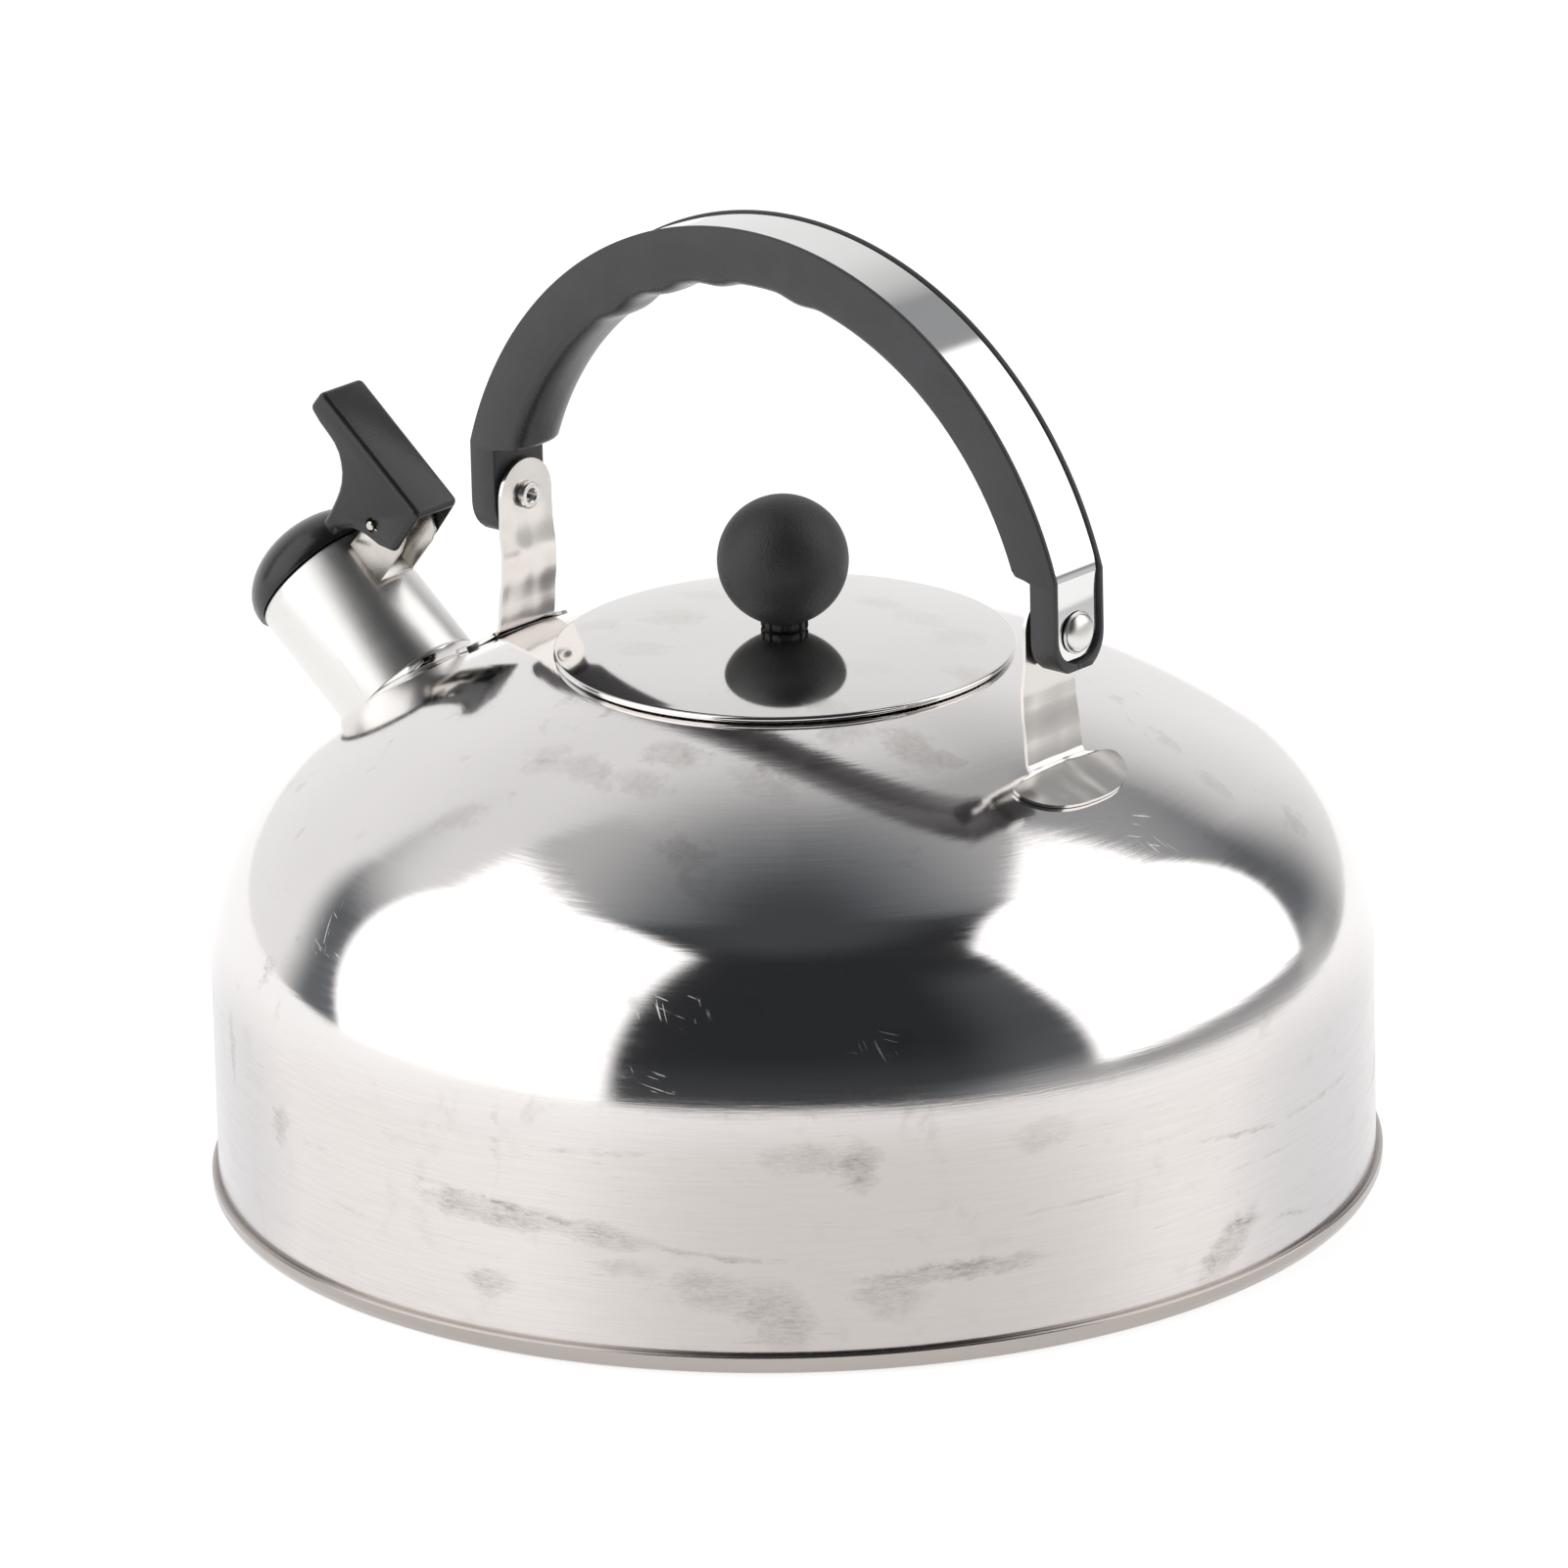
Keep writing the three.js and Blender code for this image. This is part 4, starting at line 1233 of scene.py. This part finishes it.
def strapPath():
    # (x, z, half width) from the ear's top down, round the bend and out along the dome
    t = strap["thick"]
    middle = earX - t / 2
    padX = earX - t / 2 + 0.8
    seat = shellZ(padX, strap["lift"]) + strap["padThick"]
    drop = pivotZ - seat
    path = []
    for i in range(13):
        a = math.radians(90 - 7.2 * i)
        path.append((middle, pivotZ + strap["ear"] * math.sin(a), max(strap["ear"] * math.cos(a), 0.3)))
    for i in range(1, 19):
        share = 0.86 * i / 18
        dx = -0.75 * smooth((share - 0.2) / 0.34) + 1.1 * smooth((share - 0.46) / 0.4)
        dx += 0.22 * math.exp(-((share - 0.52) / 0.06) ** 2)
        path.append((middle + dx, pivotZ - drop * share, 7.1 + 0.55 * smooth(share)))
    turn = 1.5
    lean = math.degrees(math.atan2(padX, shellZ(padX) - domeZ))
    for i in range(1, 7):
        a = math.radians(180 + (90 - lean) * i / 6)
        path.append((padX + turn + turn * math.cos(a) - 0.15, seat + turn * 0.82 + turn * math.sin(a), 7.7))
    lastX = path[-1][0]
    widths = [(0.15, 8.4), (0.35, 11.5), (0.7, 13.4), (1.3, 14.3)]
    for dx, w in widths:
        path.append((lastX + dx, shellZ(lastX + dx, strap["lift"] + strap["padThick"]), w))
    end = padX + strap["depth"]
    for i in range(1, 13):
        a = math.radians(7.4 * i)
        x = lastX + 1.3 + (end - lastX - 1.3) * math.sin(a)
        w = strap["pad"] * max(math.cos(a), 0.02) ** 0.85
        path.append((x, shellZ(x, strap["lift"] + strap["padThick"]), w))
    return path


def buildStrap(side):
    path = strapPath()
    rows = 12
    verts, normals, faces = [], [], []
    for i, (x, z, w) in enumerate(path):
        a, b = path[max(i - 1, 0)], path[min(i + 1, len(path) - 1)]
        way = Vector((b[0] - a[0], b[1] - a[1])).normalized()
        for j in range(rows + 1):
            y = w * (2 * j / rows - 1)
            if i > 37:  # the foot follows the dome
                reach = math.hypot(x, y)
                p = Vector((x, y, shellZ(reach, strap["lift"] + strap["padThick"])))
                n = slope(shellDistance, p)
            else:
                p = Vector((x, y, z))
                n = Vector((-way[1], 0, way[0]))
            verts.append(Vector((side * p.x, p.y, p.z)))
            normals.append(Vector((side * n.x, n.y, n.z)))
    for i in range(len(path) - 1):
        for j in range(rows):
            v = i * (rows + 1) + j
            faces.append([v, v + 1, v + rows + 2, v + rows + 1])
    return thickened(verts, faces, normals, strap["padThick"])


for suffix, side in (("left", -1), ("right", 1)):
    verts, faces, normals = buildStrap(side)
    made = makeObject("handleBracket" + suffix.capitalize(), verts, faces, bracketSteel, sharp=40)
    place(made, "kettle", "bracket_steel", "handle_bracket_" + suffix)

rivet = {"head": 4.0, "height": 1.9, "shank": 2.0, "roll": 2.65}


def buildRivet(side):
    seatAt = endX - handle["endSink"] + 0.3
    tail = earX - strap["thick"] - 0.3
    head = rivet["head"]
    dome = arc(0, seatAt + 0.35, head - 0.3, 0, 90, 14, ry=rivet["height"] - 0.35)
    profile = [(0, tail + 2), (1.2, tail + 2), (1.25, tail - 0.9), (1.5, tail - 1.2), (1.95, tail - 1.3)]
    roll, shank = rivet["roll"], rivet["shank"]
    profile += [(2.4, tail - 1.15), (roll, tail - 0.8), (roll, tail - 0.3), (shank, tail), (shank, seatAt)]
    profile += [(head, seatAt), (head, seatAt + 0.2), (head - 0.12, seatAt + 0.33)] + dome
    turn = frameOf(Vector((0, 1, 0)), Vector((0, 0, 1)), Vector((1, 0, 0)), Vector((0, 0, pivotZ)))
    if side < 0:
        turn = Matrix.Scale(-1, 4, Vector((1, 0, 0))) @ turn
    return turned(profile, 56, turn)


for suffix, side in (("left", -1), ("right", 1)):
    made = makeObject("handleRivet" + suffix.capitalize(), *buildRivet(side), rivetSteel, sharp=35)
    place(made, "handle", "rivet_steel", "handle_rivet_" + suffix)
print("handle")


lid = {"sheet": 0.6, "roll": 0.6, "crown": 3.2, "bow": 2.7, "columns": 200}
_, lidHigh = nodeBox("lid_shell")
knobLow, knobHigh = nodeBox("lid_knob")


def buildLid():
    rollR = lidHigh.x - lid["roll"]
    top = lidHigh.z
    rollZ = top - lid["crown"] - lid["roll"]
    radii = [2.3 + (rollR - 0.4 - 2.3) * i / 34 for i in range(35)]
    upper = [(r, top - lid["crown"] * (r / rollR) ** lid["bow"]) for r in radii]
    edge = arc(rollR, rollZ, lid["roll"], 78, -180, 14)
    under = [(r, z - lid["sheet"]) for r, z in reversed(upper) if r < rollR - 1.2]
    return turned(upper + edge + under, lid["columns"])


lidTop = makeObject("lidShell", *buildLid(), lidSteel, sharp=45)
place(lidTop, "lid", "body_steel", "lid_shell")

knob = {"radius": 12.4, "neck": 4.15, "ribs": 12, "rib": 0.42}


def buildKnob():
    centre = knobHigh.z - knob["radius"]
    foot = knobLow.z
    neckTop = centre - math.sqrt(knob["radius"] ** 2 - (knob["neck"] + 0.5) ** 2)
    lowAngle = math.degrees(math.asin((neckTop - centre) / knob["radius"]))
    neck = knob["neck"]
    profile = [(0, foot), (neck - 0.2, foot), (neck, foot + 0.2), (neck, neckTop - 0.25)]
    profile += arc(0, centre, knob["radius"], lowAngle, 90, 72)
    return turned(profile[:-1] + [(0, knobHigh.z)], 112)


ball = makeObject("knobBall", *buildKnob(), knobPlastic, sharp=55)
place(ball, "lid", "knob_plastic", "lid_knob")


def ribTree(material):
    # upright ribs set round the knob's neck
    tree, sizes, end = nodeTree("neckRibs", "Count", "Radius", "Rib", "Height")
    path = circle(tree, sizes["Count"], sizes["Radius"])
    spots = add(tree, "GeometryNodeCurveToPoints", {"mode": "EVALUATED"}, {0: path.outputs[0]})
    rib = add(tree, "GeometryNodeMeshCylinder", {}, {
        "Vertices": 10,
        "Radius": sizes["Rib"],
        "Depth": sizes["Height"],
    })
    spread = add(tree, "GeometryNodeInstanceOnPoints", {}, {0: spots.outputs[0], "Instance": rib.outputs[0]})
    finishTree(tree, end, spread.outputs[0], material)
    return tree


ribs = grown(
    "neckRibs",
    ribTree(knobPlastic),
    {"Count": knob["ribs"], "Radius": knob["neck"] * mm, "Rib": knob["rib"] * mm, "Height": 1.6 * mm},
    Matrix.Translation((0, 0, (knobLow.z + 0.85) * mm)),
)
place(ribs, "lid", "knob_plastic")
print("lid and knob")


studio = {"azimuth": 41.83, "floor": 0.42, "glow": 0.80, "right": 420, "far": 2600, "under": 0.2}


def buildFloor():
    s = Surface("floorPaint", Roughness=0.9, Base_Color=(studio["floor"],) * 3, Specular_IOR_Level=0.1)
    s.set(Emission_Color=(1.0, 1.0, 1.0), Emission_Strength=studio["glow"])
    a = math.radians(studio["azimuth"])
    right, near = Vector((math.cos(a), math.sin(a), 0)), Vector((math.sin(a), -math.cos(a), 0))
    far, side = studio["far"], studio["right"]
    corners = [(-far, -far), (side, -far), (side, far), (-far, far)]
    verts = [right * u + near * v - Vector((0, 0, studio["under"])) for u, v in corners]
    floor = makeObject("floor", verts, [[0, 1, 2, 3]], s.material)


def toward(around, up):
    # a direction by degrees to the right of the camera and degrees up: (near, right, up)
    a, b = math.radians(around), math.radians(up)
    return Vector((math.cos(a) * math.cos(b), math.sin(a) * math.cos(b), math.sin(b)))


def buildWorld():
    world = bpy.data.worlds.new("studio")
    scene.world = world
    world.use_nodes = True
    t = world.node_tree
    t.nodes.clear()
    way = node(t, "ShaderNodeTexCoord", out="Generated")
    x, y, z = parted(t, way)
    a = math.radians(studio["azimuth"])
    near = x * math.sin(a) - y * math.cos(a)  # towards the camera
    right = x * math.cos(a) + y * math.sin(a)  # to the camera's right
    turn = right.math("ARCTAN2", right, near) * (180 / math.pi)
    rise = z.math("ARCSINE", z) * (180 / math.pi)

    def side(first, second, inside, soft=0.02):
        # 1 on the inner side of the straight edge through two directions (degrees round, degrees up)
        normal = toward(*first).cross(toward(*second)).normalized()
        if normal.dot(toward(*inside)) < 0:
            normal = -normal
        return (near * normal.x + right * normal.y + z * normal.z).step(-soft, soft)

    leftMiddle, rightMiddle = (-80, 35), (92, 35)
    leftRim = ((-102.0, 6), (-127.7, 48.8), leftMiddle)
    rightRim = ((119.5, 4), (130.6, 45), rightMiddle)
    leftTop = side((-129, 57.8), (-43.4, 69.6), leftMiddle)
    leftBox = side(*leftRim) * leftTop * side((-36.5, 2), (-38.3, 50), leftMiddle, 0.035)
    rightTop = side((129.2, 60.5), (85, 67), rightMiddle)
    rightTop = rightTop * side((61.7, 60.9), (114.6, 67.5), rightMiddle)
    rightBox = side(*rightRim) * rightTop * side((60.5, 5), (57.0, 42), rightMiddle, 0.035) * rise.step(-1, 3)
    rightBox = rightBox * side((56.8, 39.2), (61.7, 60.9), rightMiddle)
    low = 1 - rise.step(24, 46)
    leftBack = 1 - (turn + 102 + 26 * rise.step(6, 50)).step(-22, -8)
    leftBack = leftBack.math("MAXIMUM", leftBack, (1 - side(*leftRim)) * (1 - low) * turn.step(-60, -110))
    rightTurn = turn - 119.5 - 11 * rise.step(18, 50)
    rightBack = rightTurn.step(8, 30) * 0.75 + rightTurn.step(24, 44) * 0.25
    dim = (1 - side(*rightRim)) * (1 - low) * turn.step(60, 110) * 0.42
    rightBack = rightBack.math("MAXIMUM", rightBack, dim)
    behind = (leftBack + rightBack).math("MINIMUM", leftBack + rightBack, 1.0) * (1 - rise.step(50, 84))
    overLeft = (1 - leftTop) * (turn * -1).step(75, 122) * (1 - rise.step(58, 86)) * 0.62
    overRight = (1 - rightTop) * turn.step(85, 124) * (1 - rise.step(58, 86)) * 0.52
    behind = behind.math("MAXIMUM", behind, overLeft.math("MAXIMUM", overLeft, overRight))
    light = 0.03 + behind * 0.78 + rise.step(68, 80) * 0.04 + (1 - rise.step(-9, -3)) * 0.3
    light = light + (1 - rise.step(4, 26)) * 0.03
    light = light + turn.step(15, 50) * (1 - turn.step(125, 140)) * (1 - rise.step(-3, 9)) * 0.30
    light = light + (1 - side(*rightRim)) * low * 0.10
    light = light + leftBox * 1.5 + rightBox * 1.5
    light = light + turn.step(30, 50) * (1 - turn.step(60, 70)) * (1 - rise.step(45, 60)) * 0.06
    cool = mixColour(t, light.step(0.05, 0.5), (0.86, 0.92, 1.0), (1.0, 1.0, 1.0))
    rays = node(t, "ShaderNodeLightPath")
    seen = node(t, "ShaderNodeBackground", {}, {"Color": (1.0, 1.0, 1.0), "Strength": 1.0})
    lit = node(t, "ShaderNodeBackground", {}, {"Color": cool, "Strength": light})
    both = node(t, "ShaderNodeMixShader", {}, {0: rays, 1: lit, 2: seen})
    node(t, "ShaderNodeOutputWorld", {}, {"Surface": both})


def buildCamera():
    eye = Vector((1.66984, -1.86589, 0.93548))
    right, up = Vector((0.75007, 0.66094, -0.02338)), Vector((-0.19803, 0.25819, 0.94558))
    ahead = Vector((-0.63101, 0.70462, -0.32455))
    data = bpy.data.cameras.new("view")
    data.lens = 322.45
    data.sensor_width = 36
    data.clip_start = 0.05
    data.clip_end = 20
    camera = bpy.data.objects.new("view", data)
    scene.collection.objects.link(camera)
    camera.matrix_world = frameOf(right, up, -ahead, eye)
    scene.camera = camera


buildFloor()
buildWorld()
buildCamera()
scene.view_settings.view_transform = "Standard"
print("studio")
